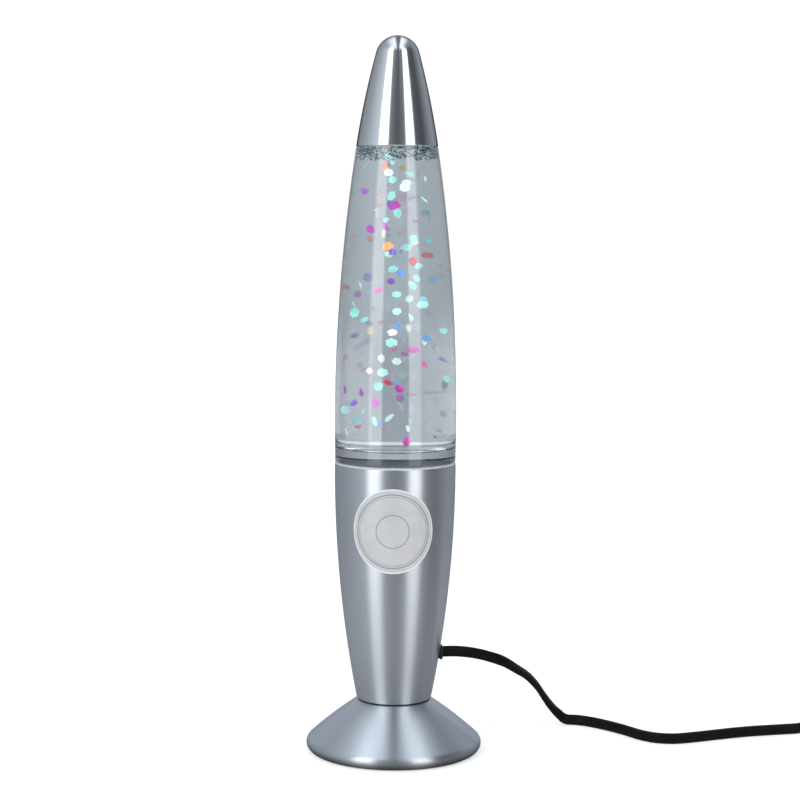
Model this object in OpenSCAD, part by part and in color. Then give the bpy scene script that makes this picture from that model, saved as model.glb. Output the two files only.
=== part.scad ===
// Rocket-shaped glitter lamp: a flared foot, a turned shell with the lamp
// holder and bulb inside, a glass bottle of liquid and glitter standing in the
// shell's rim, a pointed metal cap, and a flat flex with its switch and plug.
// Millimetres, +Z up, origin on the surface it stands on, under its centre.

/* [Lamp] */
// Height of the joint between foot and shell
foot_h = 25; // [20:0.5:30]
// Widest radius of the foot
foot_r = 42; // [38:0.5:50]
// Radius of the shell where it stands on the foot
neck_r = 17.8; // [16:0.1:20]
// Height of the shell's top rim
shell_top = 139.2; // [135:0.1:142]
// Widest radius of the shell and of the bottle
waist_r = 28.75; // [28:0.05:30]
// Height at which the cap stands on the bottle
cap_seat = 288.5; // [286:0.5:290]
// Radius of the cap at its lower edge
cap_r = 19.3; // [19:0.1:20]

/* [Curves] */
// Radius of the curve that the shell's side follows
shell_curve = 570; // [540:5:620]
// Radius of the curve that the bottle's side follows
bottle_curve = 870; // [850:5:900]
// Radius of the curve that the cap's side follows
cap_curve = 403.5; // [400:0.5:410]
// Radius of the cap's rounded nose
nose_r = 10.5; // [9:0.1:12]
// Radius of the foot's rolled rim
rim_r = 3.8; // [3:0.1:4.5]

/* [Walls] */
// Thickness of the foot and shell sheet
sheet = 1.2; // [1:0.1:1.5]
// Thickness of the cap's sheet
cap_wall = 1.1; // [0.8:0.1:1.2]
// Thickness of the bottle's side
glass = 2.8; // [2:0.1:3]
// Height of the bottle's inner floor above the shell's rim
glass_floor = 7.3; // [6:0.1:9]
// Depth to which the bottle's spigot drops into the shell
spigot = 8.7; // [7:0.1:9]

/* [Label] */
// Height of the label's centre
label_z = 110.3; // [95:0.1:115]
// Radius of the label
label_r = 19.8; // [15:0.1:20]

/* [Bulb and holder] */
// Height of the contact at the foot of the bulb
bulb_z = 52; // [51:0.1:53]
// Radius of the bulb's reflector
bulb_r = 19.5; // [19:0.1:20]
// Number of hanging glitter flakes
flakes = 56; // [20:1:70]

/* [Flex] */
// Width of the flat flex
flex_d = 5.2; // [5:0.1:5.6]
// Height at which the flex leaves the shell
exit_z = 47; // [46:0.5:48]
// Outermost radius of the wound flex, to the flex's middle
coil_out = 35; // [34:0.5:36]
// Whole turns in the coil
coil_turns = 6; // [5:1:7]

/* [Switch and plug] */
// Length of the flex switch
switch_l = 56; // [54:1:58]
// Width of the flex switch
switch_w = 22; // [21:0.5:23]
// Height of the flex switch's case
switch_h = 14; // [13.5:0.5:15]
// Angle that the rocker is tilted by when off
rocker_tilt = 8; // [6:0.5:9]
// Distance between the plug's pins
pin_gap = 18.6; // [17.5:0.1:19]

/* [Hidden] */
$fn = 96;

// Foot: the straight flank leaves the neck and runs on to the rolled rim.
rim_lift = 0.1;
rim = [foot_r - rim_r, rim_r + rim_lift];
flank_run = norm(rim - [neck_r, foot_h]);
flank_dip = atan2(foot_h - rim[1], rim[0] - neck_r) - asin(rim_r / flank_run);
pad_h = 1.6;
ring_h = 0.8;
shell_foot = foot_h + ring_h;
rest_h = 0.5;
shoulder_z = shell_top + rest_h;

// Widest height of each curved side.
shell_waist_z = 136.5;
bottle_waist_z = 159.5;
cap_waist_z = 227.45;
cap_waist_r = cap_r + cap_curve - sqrt(pow(cap_curve, 2) - pow(cap_seat - cap_waist_z, 2));
nose_z = cap_waist_z + sqrt(pow(cap_curve - nose_r, 2) - pow(cap_curve - cap_waist_r, 2));

// Bottle neck, hidden by the cap.
neck_out = 9.5;
neck_bore = 6.8;
neck_z0 = 303;
neck_z1 = 314;
fill_z = 287;
floor_z = shell_top + glass_floor;
spigot_z = shell_top - spigot;
push_up_r = 60;
push_up_h = 2.5;
neck_foot_r = 15.9;
neck_foot_z = 298;

// Holder and bulb.
tube_r = 5;
holder_r = 13;
holder_z = 34;
holder_top = 80;

// Flex route: hand-set points from the bush to the switch, then to the coil.
exit_turn = 6;
run_points = [
    [14, 2, 47], [21, 3, 47], [30, 5, 46.8], [39, 9, 45], [47, 14, 42], [54, 19, 38.5],
    [60, 24, 34], [66, 30, 29], [71, 35, 23], [75, 40, 16.5], [79, 43.5, 10.5], [83.5, 46, 5.5],
    [89, 46.5, 3.2], [95, 44.5, 2.6], [101, 40.5, 2.6], [108, 34, 2.6], [115, 26, 2.6],
    [121, 18, 2.6], [128, 12.5, 2.6], [137, 11, 2.6], [148, 14.5, 2.6], [161, 20, 2.6],
    [174, 25, 2.6], [187, 28.5, 2.6], [200, 31.5, 3.2], [208, 33.6, 5], [216, 34.5, 6.5]
];
switch_at = [214, 34.5];
switch_axis_z = 6.5;
coil_at = [283, -22];
coil_layer = 3.4;
// The flex joins the coil at 30 degrees and leaves it, clockwise, at 270.
coil_sweep = coil_turns + 1 / 3;
coil_mid_r = coil_out - flex_d * coil_sweep / 4;
coil_lo_r = coil_out - flex_d * coil_sweep / 2;
coil_wide = coil_out - coil_lo_r + flex_d;
low_z = 1.7;
coil_high = coil_layer + 2 * low_z;
link_points = [
    [269, 34.5, 6.5], [276, 34.3, 6], [284, 32.5, 4.6], [291.5, 28, 3.2], [298, 21, 2.6],
    [303.5, 13, 2.6], [308.6, 4, 2.6], [313.3, -4.5, 2.6]
];
tail_y = coil_at[1] - coil_out;
tail_points = [
    [284, tail_y, low_z + coil_layer], [278, tail_y, 5.3], [271, tail_y, 5.9], [264, tail_y, 6.7],
    [257, tail_y, 7]
];
plug_x = 242;
plug_l = 34;
relief_l = 20;
plug_z = 7;
pin_r = 2;
pin_l = 19;
pin_core_r = 1.4;
sleeve_l = 10;

// Holes for the flex, the bush in the shell, and the clamping parts.
flex_hole = flex_d / 2;
bush_r = 3.2;
bush_flange_r = 3.7;
bush_seat = 22.6;
nut_across = 14;
nut_h = 3.5;
washer_z = 20.9;
tube_clear = tube_r + 0.2;
foot_plate_z = foot_h - sheet / cos(flank_dip);
shell_floor = shell_foot + 1.5;

// Bulb: neck, flared reflector and crown.
bulb_neck_z = 73;
flare_z = 80;
crown_z = 105;
crown_curve = 24;
crown_mid_z = crown_z - sqrt(pow(crown_curve, 2) - pow(bulb_r, 2));

// Switch: where the case parts, the rocker and arm that turn, and the screws.
split_z = switch_axis_z;
case_wall = 1.8;
rocker_z = 10.4;
rocker_l = 19;
rocker_w = 9;
pivot_r = 1.2;
arm_z = 4.4;
arm_tilt = 6;
screw_spots = [[-19, 6.6], [19, -6.6]];

// ---- Outlines, drawn in the XZ half-plane and turned about Z ----

// The area inside a long arc whose widest point is (waist radius, waist height).
module arc_area(curve, waist_radius, waist_height, inset, low, high) {
    intersection() {
        translate([waist_radius - curve, waist_height]) circle(r = curve - inset, $fn = 1440);
        translate([0, low]) square([waist_radius + 1, high - low]);
    }
}

module band(inner, outer, low, high) {
    translate([inner, low]) square([outer - inner, high - low]);
}

module ring(inner, outer, low, high) {
    rotate_extrude() band(inner, outer, low, high);
}

// Points along an arc, both ends included.
function arc_points(centre, radius, from, to, steps) =
    [for (k = [0:steps]) let (a = from + (to - from) * k / steps) centre + radius * [cos(a), sin(a)]];

// A hexagonal nut lying flat.
module nut(across, bore, low, high) {
    translate([0, 0, low]) difference() {
        cylinder(d = across / cos(30), h = high - low, $fn = 6);
        translate([0, 0, -1]) cylinder(r = bore, h = high - low + 2);
    }
}

// A rectangle with round corners, centred.
module round_rect(length, width, corner) {
    square([length - 2 * corner, width], center = true);
    square([length, width - 2 * corner], center = true);
    for (sx = [-1, 1], sy = [-1, 1])
        translate([sx * (length / 2 - corner), sy * (width / 2 - corner)]) circle(r = corner);
}

// ---- Foot ----

// One sheet: top plate, straight flank, round roll and a short flange turned in.
module foot_skirt() {
    flange = 3;
    color("silver") difference() {
        rotate_extrude() polygon(concat(
            [[0, foot_h], [neck_r, foot_h]],
            arc_points(rim, rim_r, 90 - flank_dip, -90, 16),
            [[rim[0] - flange, rim_lift], [rim[0] - flange, rim_lift + sheet]],
            arc_points(rim, rim_r - sheet, -90, 90 - flank_dip, 16),
            [[neck_r - 0.6, foot_plate_z], [0, foot_plate_z]]
        ));
        translate([0, 0, foot_h - 4]) cylinder(r = tube_clear, h = 6);
    }
}

module foot_pad() {
    color("dimgray") ring(6, rim[0] - 3.2, 0, pad_h);
}

module foot_weight() {
    color("gray") ring(11, rim[0] - 4.5, pad_h, pad_h + 6.8);
}

module foot_nut() {
    color("gold") nut(nut_across, tube_r, washer_z - nut_h, washer_z);
}

module lock_washer() {
    color("gray") ring(tube_clear, 9, washer_z, foot_plate_z);
}

module neck_ring() {
    color("black") ring(tube_clear, neck_r - 0.7, foot_h, shell_foot);
}

// ---- Shell ----

module shell_area(inset, low, high) {
    arc_area(shell_curve, waist_r, shell_waist_z, inset, low, high);
}

module lamp_shell() {
    color("silver") difference() {
        rotate_extrude() difference() {
            shell_area(0, shell_foot, shell_top);
            shell_area(sheet, shell_floor, shell_top + 1);
        }
        translate([0, 0, shell_foot - 1]) cylinder(r = tube_clear, h = 4);
        rotate([0, 0, exit_turn]) translate([15, 0, exit_z]) rotate([0, 90, 0])
            cylinder(r = bush_r + 0.1, h = 12);
    }
}

module shell_nut() {
    color("gold") nut(nut_across, tube_r, shell_floor, shell_floor + nut_h);
}

module threaded_tube() {
    color("gold") ring(tube_r - 1.5, tube_r, 14, holder_z + 8);
}

module cord_bush() {
    color("black") rotate([0, 0, exit_turn]) translate([0, 0, exit_z]) rotate([0, 90, 0]) difference() {
        union() {
            translate([0, 0, bush_seat - 4.6]) cylinder(r = bush_r, h = 4.6);
            translate([0, 0, bush_seat - 0.2]) cylinder(r = bush_flange_r, h = 0.8);
        }
        cylinder(r = flex_hole, h = 30);
    }
}

// A round sticker; its outline draws in a little where it bends round the shell.
module label() {
    thick = 0.15;
    draw_in = 0.9;
    color("whitesmoke") intersection() {
        rotate_extrude() difference() {
            shell_area(-thick, label_z - label_r, label_z + label_r);
            shell_area(0, label_z - label_r - 1, label_z + label_r + 1);
        }
        translate([0, 0, label_z]) rotate([90, 0, 0]) cylinder(r = label_r - draw_in, h = 2 * waist_r);
    }
}

module rest_ring() {
    color("lightgray") ring(waist_r - 1.3, waist_r - 0.2, shell_top, shoulder_z);
}

// ---- Lamp holder ----

module holder_cap() {
    color("black") difference() {
        rotate_extrude() difference() {
            polygon([[0, holder_z], [8, holder_z], [holder_r, holder_z + 9], [holder_r, 48], [0, 48]]);
            band(0, 9.5, holder_z + 8, 49);
        }
        translate([0, 0, holder_z - 1]) cylinder(r = tube_r, h = 10);
        translate([5, 1, 43]) cube([10, 4, 3]);
    }
}

module holder_body() {
    color("black") rotate_extrude() difference() {
        band(0, holder_r, 48, holder_top);
        band(0, 7.8, bulb_z - 1.2, holder_top + 1);
        band(0, 9.6, 70, holder_top + 1);
    }
}

module holder_ring() {
    color("black") ring(holder_r, holder_r + 2.2, 64, 69);
}

module screw_shell() {
    color("gold") ring(7.2, 7.7, bulb_z + 3, 69);
}

module centre_contact() {
    color("gold") union() {
        translate([-6, -2, bulb_z - 1.2]) cube([12, 4, 0.5]);
        translate([0, 0, bulb_z - 0.7]) cylinder(r = 1.8, h = 0.7);
    }
}

module terminal_screws() {
    color("gold") for (side = [-1, 1]) translate([side * 5, 0, 0]) {
        translate([0, 0, 45]) cylinder(r = 2.4, h = 3);
        translate([0, 0, 43.6]) cylinder(r = 1.6, h = 1.4);
    }
}

// Ring of points about a route point, square to the route's direction.
function side_of(d) = let (s = cross(d, [0, 0, 1])) norm(s) < 0.01 ? [1, 0, 0] : s / norm(s);
function way(p, i) =
    let (d = p[min(i + 1, len(p) - 1)] - p[max(i - 1, 0)]) d / norm(d);
function hoop(c, d, r, n) =
    let (s = side_of(d), u = cross(s, d))
    [for (k = [0:n - 1]) c + r * (cos(360 * k / n) * s + sin(360 * k / n) * u)];
// A Catmull-Rom curve through a route, with a few points on each stretch.
function spline_at(p, i, t) =
    let (
        a = p[max(i - 1, 0)], b = p[i], c = p[i + 1], d = p[min(i + 2, len(p) - 1)]
    )
    0.5 * (2 * b + (c - a) * t + (2 * a - 5 * b + 4 * c - d) * t * t + (3 * b - a - 3 * c + d) * t * t * t);
function smooth_route(p, steps) = concat(
    [for (i = [0:len(p) - 2], k = [0:steps - 1]) spline_at(p, i, k / steps)],
    [p[len(p) - 1]]
);

// A round tube swept along a route.
module sweep(points, radius, sides) {
    last = len(points) - 1;
    hoops = [for (i = [0:last]) each hoop(points[i], way(points, i), radius, sides)];
    walls = [for (i = [0:last - 1], k = [0:sides - 1]) let (j = (k + 1) % sides)
        [i * sides + k, i * sides + j, (i + 1) * sides + j, (i + 1) * sides + k]];
    first_end = [for (k = [sides - 1:-1:0]) k];
    last_end = [for (k = [0:sides - 1]) last * sides + k];
    polyhedron(hoops, concat([first_end], walls, [last_end]), convexity = 4);
}

module inner_leads() {
    color("brown") sweep([[14, 2.6, 47], [12, 2.8, 45.2], [8.6, 2.4, 44.4], [6.8, 1.2, 44.3]], 0.9, 8);
}

// ---- Bulb ----

module bulb_area(inset) {
    polygon([[0, bulb_neck_z], [8 - inset, bulb_neck_z], [8 - inset, flare_z], [bulb_r - inset, crown_z - 2],
        [bulb_r - inset, crown_z], [0, crown_z]]);
    intersection() {
        translate([0, crown_mid_z]) circle(r = crown_curve - inset);
        band(0, bulb_r - inset, crown_z - 1, crown_z + 20);
    }
}

module bulb_glass() {
    color("lightgray") rotate_extrude() difference() {
        bulb_area(0);
        bulb_area(0.8);
        band(0, 7.2, 72, 75);
    }
}

module bulb_shell() {
    color("silver") rotate_extrude() difference() {
        union() {
            band(0, 6.6, 55.5, 70);
            for (z = [57.5:2.8:68.7]) translate([6, z]) circle(r = 0.95, $fn = 32);
            polygon([[6.6, 69], [8.6, 73], [8.6, 77], [0, 77], [0, 69]]);
        }
        band(0, 6, 54, 70);
        polygon([[0, 69], [6, 69], [8, 73], [8, 78], [0, 78]]);
    }
}

module bulb_insulator() {
    color("black") rotate_extrude() polygon([[0, 53.2], [2.6, 53.2], [6, 55.5], [6, 57], [0, 57]]);
}

module bulb_tip() {
    color("gold") translate([0, 0, bulb_z]) cylinder(r = 2.2, h = 1.2);
}

module bulb_stem() {
    color("white") rotate_extrude() polygon([[0, 72], [7, 72], [7, 73.5], [2.2, 77], [1.8, 90], [0, 90]]);
}

module bulb_filament() {
    color("gold") union() {
        for (side = [-1, 1]) translate([side * 1, 0, 89]) rotate([0, side * 38, 0]) cylinder(r = 0.25, h = 9);
        translate([-6.3, 0, 95.8]) rotate([0, 90, 0]) cylinder(r = 0.35, h = 12.6);
    }
}

// ---- Bottle ----

module bottle_area(inset, low, high) {
    arc_area(bottle_curve, waist_r + 0.08, bottle_waist_z, inset, low, high);
}

module bottle() {
    color("lightblue", 0.35) rotate_extrude() difference() {
        union() {
            bottle_area(0, shoulder_z, cap_seat);
            bottle_area(1.6, cap_seat - 1, neck_foot_z);
            band(0, waist_r - 2.3, spigot_z, shoulder_z + 1);
            polygon([[0, neck_foot_z - 1], [neck_foot_r, neck_foot_z - 1], [neck_foot_r, neck_foot_z],
                [neck_out, neck_z0], [neck_out, neck_z1], [0, neck_z1]]);
        }
        bottle_area(glass, floor_z, 294);
        polygon([[0, 293.5], [14.9, 293.5], [neck_bore, 300.5], [neck_bore, neck_z1 + 1], [0, neck_z1 + 1]]);
        translate([0, spigot_z + push_up_h - push_up_r]) circle(r = push_up_r);
    }
}

module liquid() {
    color("lightsteelblue", 0.4) rotate_extrude() bottle_area(glass, floor_z, fill_z);
}

// Hexagonal flakes on a rising golden-angle spiral, each tilted its own way.
module glitter() {
    golden = 137.508;
    color("turquoise") for (i = [0:flakes - 1]) {
        out = 4 + 17 * sqrt((i * 37 % flakes) / flakes) * (i > 0.6 * flakes ? 0.7 : 1);
        up = floor_z + 6 + 124 * i / flakes;
        rotate([0, 0, golden * i]) translate([out, 0, up]) rotate([i * 67, i * 41, i * 23])
            cylinder(r = 1.9, h = 0.3, center = true, $fn = 6);
    }
}

module bottle_closure() {
    color("white") rotate_extrude() difference() {
        band(0, 11, 304.5, neck_z1 + 2.5);
        band(0, neck_out + 0.1, 304, neck_z1 + 1);
    }
}

module closure_seal() {
    color("white") translate([0, 0, neck_z1]) cylinder(r = neck_out, h = 1);
}

// ---- Cap ----

module cap_area(inset) {
    nose_out = nose_r * (cap_curve - cap_waist_r) / (cap_curve - nose_r);
    nose_join = nose_z + sqrt(pow(nose_r, 2) - pow(nose_out, 2));
    arc_area(cap_curve, cap_waist_r, cap_waist_z, inset, cap_seat - inset, nose_join);
    intersection() {
        translate([0, nose_z]) circle(r = nose_r - inset);
        band(0, nose_r, nose_join - 1, nose_z + nose_r + 1);
    }
}

module cap() {
    color("silver") rotate_extrude() difference() {
        cap_area(0);
        cap_area(cap_wall);
    }
}

module cap_liner() {
    liner_z = 306;
    color("white") rotate_extrude() intersection() {
        band(11.3, 17, liner_z, liner_z + 6);
        cap_area(cap_wall);
    }
}

// ---- Flex ----

module cord_run() {
    color("black") sweep(smooth_route(run_points, 2), flex_d / 2, 12);
}

module cord_link() {
    color("black") sweep(smooth_route(link_points, 2), flex_d / 2, 12);
}

module cord_tail() {
    color("black") sweep(tail_points, flex_d / 2, 12);
}

module cord_coil() {
    color("black") translate([coil_at[0], coil_at[1], 0]) difference() {
        rotate_extrude()
            translate([coil_mid_r, low_z + coil_layer / 2])
                round_rect(coil_wide, coil_high, 1.6);
        tie_block(coil_wide + 2, coil_high + 2, 0.5);
    }
}

// Space that the tie takes around the bundle at its far side.
module tie_block(long, high, skin) {
    translate([coil_mid_r, 0, 0]) difference() {
        translate([-long / 2, -3, 0]) cube([long, 6, high]);
        translate([-long / 2 + 1.5, -4, skin]) cube([long - 3, 8, high - 2 - skin + 0.5]);
    }
}

module coil_tie() {
    color("dimgray") translate([coil_at[0], coil_at[1], 0])
        tie_block(coil_wide + 2, coil_high + 2, 0.5);
}

// ---- Flex switch ----

module switch_case(low, high) {
    translate([0, 0, low]) linear_extrude(high - low) round_rect(switch_l, switch_w, 6);
}

module switch_hollow(low, high) {
    translate([0, 0, low]) linear_extrude(high - low)
        round_rect(switch_l - 2 * case_wall, switch_w - 2 * case_wall, 6 - case_wall);
}

module at_switch() {
    translate([switch_at[0] + switch_l / 2, switch_at[1], 0]) children();
}

module cord_ways() {
    for (side = [-1, 1]) translate([side * switch_l / 2, 0, switch_axis_z]) rotate([0, 90, 0])
        cylinder(r = flex_hole, h = 8, center = true);
}

module switch_lower() {
    color("black") at_switch() difference() {
        union() {
            difference() {
                switch_case(0, split_z);
                switch_hollow(1.6, split_z + 1);
            }
            for (spot = screw_spots) translate([spot[0], spot[1], 1]) cylinder(r = 2.4, h = split_z - 1);
            translate([0, 0, 1.4]) cube([3, 3, 0.8], center = true);
        }
        cord_ways();
        for (spot = screw_spots) translate([spot[0], spot[1], -1]) {
            cylinder(r = 1.3, h = 10);
            cylinder(r = 2.2, h = 2.2, $fn = 48);
        }
    }
}

module switch_upper() {
    color("black") at_switch() difference() {
        union() {
            difference() {
                switch_case(split_z, switch_h);
                switch_hollow(split_z - 1, switch_h - case_wall);
            }
            for (side = [-1, 1]) translate([-3, side * (rocker_w / 2 + 1.5) - 1.2, 8])
                cube([6, 2.4, switch_h - 8.5]);
            for (spot = screw_spots) translate([spot[0], spot[1], split_z]) cylinder(r = 2.4, h = 6.5);
        }
        cord_ways();
        translate([0, 0, switch_h]) cube([rocker_l + 0.8, rocker_w + 0.6, 8], center = true);
        translate([0, 0, rocker_z]) rotate([90, 0, 0]) cylinder(r = pivot_r + 0.06, h = 16, center = true);
        for (spot = screw_spots) translate([spot[0], spot[1], split_z - 1]) cylinder(r = 1, h = 6);
    }
}

module rocker() {
    color("black") at_switch() translate([0, 0, rocker_z]) rotate([0, -rocker_tilt, 0]) {
        difference() {
            intersection() {
                translate([-rocker_l / 2, -rocker_w / 2, -1.2]) cube([rocker_l, rocker_w, 10]);
                translate([0, 0, -14.6]) rotate([90, 0, 0]) cylinder(r = 20, h = rocker_w, center = true);
            }
            translate([0, 0, 27]) rotate([90, 0, 0]) cylinder(r = 22.6, h = rocker_w + 1, center = true);
        }
        rotate([90, 0, 0]) cylinder(r = pivot_r, h = rocker_w + 4, center = true);
        translate([0, 0, -4.6]) cylinder(r = 1.1, h = 4);
    }
}

module contact_arm() {
    color("gold") at_switch() translate([0, 0, arm_z]) rotate([0, arm_tilt, 0]) difference() {
        union() {
            translate([-7, -1.6, 0.3]) cube([14, 3.2, 0.6]);
            rotate([90, 0, 0]) cylinder(r = 0.9, h = 3.2, center = true);
        }
        rotate([90, 0, 0]) cylinder(r = 0.55, h = 4, center = true);
    }
}

module switch_terminals() {
    color("gold") at_switch() {
        translate([0, 0, arm_z]) rotate([90, 0, 0]) cylinder(r = 0.5, h = 7, center = true);
        for (side = [-1, 1]) translate([-1, side * 3 - 0.5, 1.6]) cube([2, 1, 3.4]);
        translate([5.5, -1.6, 1.6]) cube([4, 3.2, 1.9]);
        for (side = [-1, 1]) translate([side * 13.5 - 2.5, -6.5, 1.6]) cube([5, 4, 4.2]);
    }
}

module switch_screws() {
    color("silver") at_switch() for (spot = screw_spots) translate([spot[0], spot[1], 0.2]) {
        cylinder(r = 2, h = 1, $fn = 48);
        cylinder(r = 1, h = 10);
    }
}

// ---- Plug ----

// Outline seen from above: wide at the pins, narrow at the flex.
module plug_body() {
    color("black") translate([plug_x - plug_l, tail_y, 0]) difference() {
        intersection() {
            linear_extrude(2 * plug_z) polygon([[0, -14], [3, -17.6], [9, -17.6], [plug_l, -7.5],
                [plug_l, 7.5], [9, 17.6], [3, 17.6], [0, 14]]);
            translate([-1, 0, plug_z]) rotate([90, 0, 90]) linear_extrude(plug_l + 2)
                round_rect(36, 2 * plug_z, 5);
        }
        translate([plug_l - 12, 0, plug_z]) rotate([0, 90, 0]) cylinder(r = flex_hole, h = 13);
    }
}

module plug_relief() {
    color("black") translate([plug_x, tail_y, plug_z]) rotate([0, 90, 0]) difference() {
        union() {
            cylinder(r1 = 4.8, r2 = 3.5, h = relief_l);
            for (x = [2:4:14]) translate([0, 0, x]) cylinder(r = 5 - x * 0.06, h = 2);
        }
        translate([0, 0, -1]) cylinder(r = flex_hole, h = relief_l + 2);
    }
}

module at_pins() {
    for (side = [-1, 1])
        translate([plug_x - plug_l, tail_y + side * pin_gap / 2, plug_z]) rotate([0, -90, 0]) children();
}

module plug_pins() {
    color("silver") at_pins() {
        cylinder(r = pin_core_r, h = sleeve_l);
        translate([0, 0, sleeve_l]) cylinder(r = pin_r, h = pin_l - sleeve_l - 0.5);
        translate([0, 0, pin_l - 0.5]) cylinder(r1 = pin_r, r2 = pin_r - 0.5, h = 0.5);
    }
}

module pin_sleeves() {
    color("black") at_pins() difference() {
        cylinder(r = pin_r - 0.3, h = sleeve_l);
        translate([0, 0, -1]) cylinder(r = pin_core_r, h = sleeve_l + 2);
    }
}

foot_skirt();
foot_pad();
foot_weight();
foot_nut();
lock_washer();
neck_ring();
lamp_shell();
shell_nut();
threaded_tube();
cord_bush();
label();
rest_ring();
holder_cap();
holder_body();
holder_ring();
screw_shell();
centre_contact();
terminal_screws();
inner_leads();
bulb_glass();
bulb_shell();
bulb_insulator();
bulb_tip();
bulb_stem();
bulb_filament();
bottle();
liquid();
glitter();
bottle_closure();
closure_seal();
cap();
cap_liner();
cord_run();
cord_link();
cord_coil();
cord_tail();
coil_tie();
switch_lower();
switch_upper();
rocker();
contact_arm();
switch_terminals();
switch_screws();
plug_body();
plug_relief();
plug_pins();
pin_sleeves();
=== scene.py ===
# Rocket-shaped glitter lamp: flared foot, turned shell, bottle of liquid and
# glitter, pointed cap, and a flat flex with its switch and plug. Outlines are
# in millimetres and become metres where the meshes are made.
import math
import random

import bmesh
import bpy
from mathutils import Matrix, Vector


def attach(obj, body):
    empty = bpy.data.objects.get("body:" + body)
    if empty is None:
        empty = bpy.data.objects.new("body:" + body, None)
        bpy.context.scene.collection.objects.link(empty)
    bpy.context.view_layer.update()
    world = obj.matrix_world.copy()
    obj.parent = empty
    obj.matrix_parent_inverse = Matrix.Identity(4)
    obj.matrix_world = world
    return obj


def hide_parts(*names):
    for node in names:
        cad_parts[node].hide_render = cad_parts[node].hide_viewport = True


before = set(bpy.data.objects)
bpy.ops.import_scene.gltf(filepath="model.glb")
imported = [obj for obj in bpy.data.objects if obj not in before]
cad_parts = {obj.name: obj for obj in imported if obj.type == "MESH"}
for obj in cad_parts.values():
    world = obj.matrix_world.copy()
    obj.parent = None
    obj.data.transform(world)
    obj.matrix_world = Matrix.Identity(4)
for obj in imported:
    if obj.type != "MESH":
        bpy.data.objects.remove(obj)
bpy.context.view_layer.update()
scene = bpy.context.scene


# ---- Studio ----
# A pale table in a white room. Two tall soft boxes stand either side of the
# camera, two panels hang overhead, and the walls are a graded cool grey.

camera_data = bpy.data.cameras.new("camera")
camera_data.sensor_width = 36
camera_data.lens = 91.93
camera_data.shift_x = 0.0054
camera = bpy.data.objects.new("camera", camera_data)
scene.collection.objects.link(camera)
camera.location = (0, -0.9646, 0.2657)
look_down = math.radians(90 - 5.725)
lean = math.radians(0.35)
camera.rotation_euler = (
    Matrix.Rotation(look_down, 4, "X") @ Matrix.Rotation(lean, 4, "Z")
).to_euler()
scene.camera = camera
scene.view_settings.view_transform = "Standard"


def node(tree, kind, settings=None, **inputs):
    """Add a shader node. Inputs are named with underscores; a socket given as a value is wired in."""
    made = tree.nodes.new(kind)
    for key, value in (settings or {}).items():
        setattr(made, key, value)
    for key, value in inputs.items():
        name = key.replace("_", " ")
        socket = made.inputs[int(name[1:])] if name[0] == "i" and name[1:].isdigit() else made.inputs[name]
        if isinstance(value, bpy.types.NodeSocket):
            tree.links.new(value, socket)
        else:
            socket.default_value = value
    return made


def maths(tree, operation, a, b=0.5, c=0.0, clamp=False):
    settings = {"operation": operation, "use_clamp": clamp}
    return node(tree, "ShaderNodeMath", settings, i0=a, i1=b, i2=c).outputs[0]


def soft_range(tree, value, start, end, first, last):
    """Passes softly from first to last as the value goes from start to end."""
    return node(tree, "ShaderNodeMapRange", {"interpolation_type": "SMOOTHSTEP"}, Value=value,
                From_Min=start, From_Max=end, To_Min=first, To_Max=last).outputs[0]


def window(tree, value, low, high, soft):
    """1 between low and high, fading to 0 over a width of soft."""
    rise = soft_range(tree, value, low - soft, low + soft, 0, 1)
    fall = soft_range(tree, value, high - soft, high + soft, 1, 0)
    return maths(tree, "MULTIPLY", rise, fall)


def ramp(tree, value, stops):
    """Colour along a row of (place, colour) stops."""
    made = node(tree, "ShaderNodeValToRGB", Fac=value)
    elements = made.color_ramp.elements
    while len(elements) > 1:
        elements.remove(elements[-1])
    for place, colour in stops:
        stop = elements.new(place)
        stop.color = (*colour, 1)
    elements.remove(elements[0])
    return made.outputs["Color"]


def blend(tree, share, first, second):
    """From the first colour to the second as the share goes from 0 to 1."""
    return node(tree, "ShaderNodeMix", {"data_type": "RGBA"}, i0=share, i6=first, i7=second).outputs[2]


def length_of(tree, vector):
    return node(tree, "ShaderNodeVectorMath", {"operation": "LENGTH"}, i0=vector).outputs["Value"]


def scaled(tree, colour, factor):
    return node(tree, "ShaderNodeVectorMath", {"operation": "SCALE"}, i0=colour, Scale=factor).outputs[0]


def noise(tree, at, scale, detail, **more):
    """Soft noise from 0 to 1, its scale in spots to the metre."""
    return node(tree, "ShaderNodeTexNoise", Vector=at, Scale=scale, Detail=detail, **more).outputs["Fac"]


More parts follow.
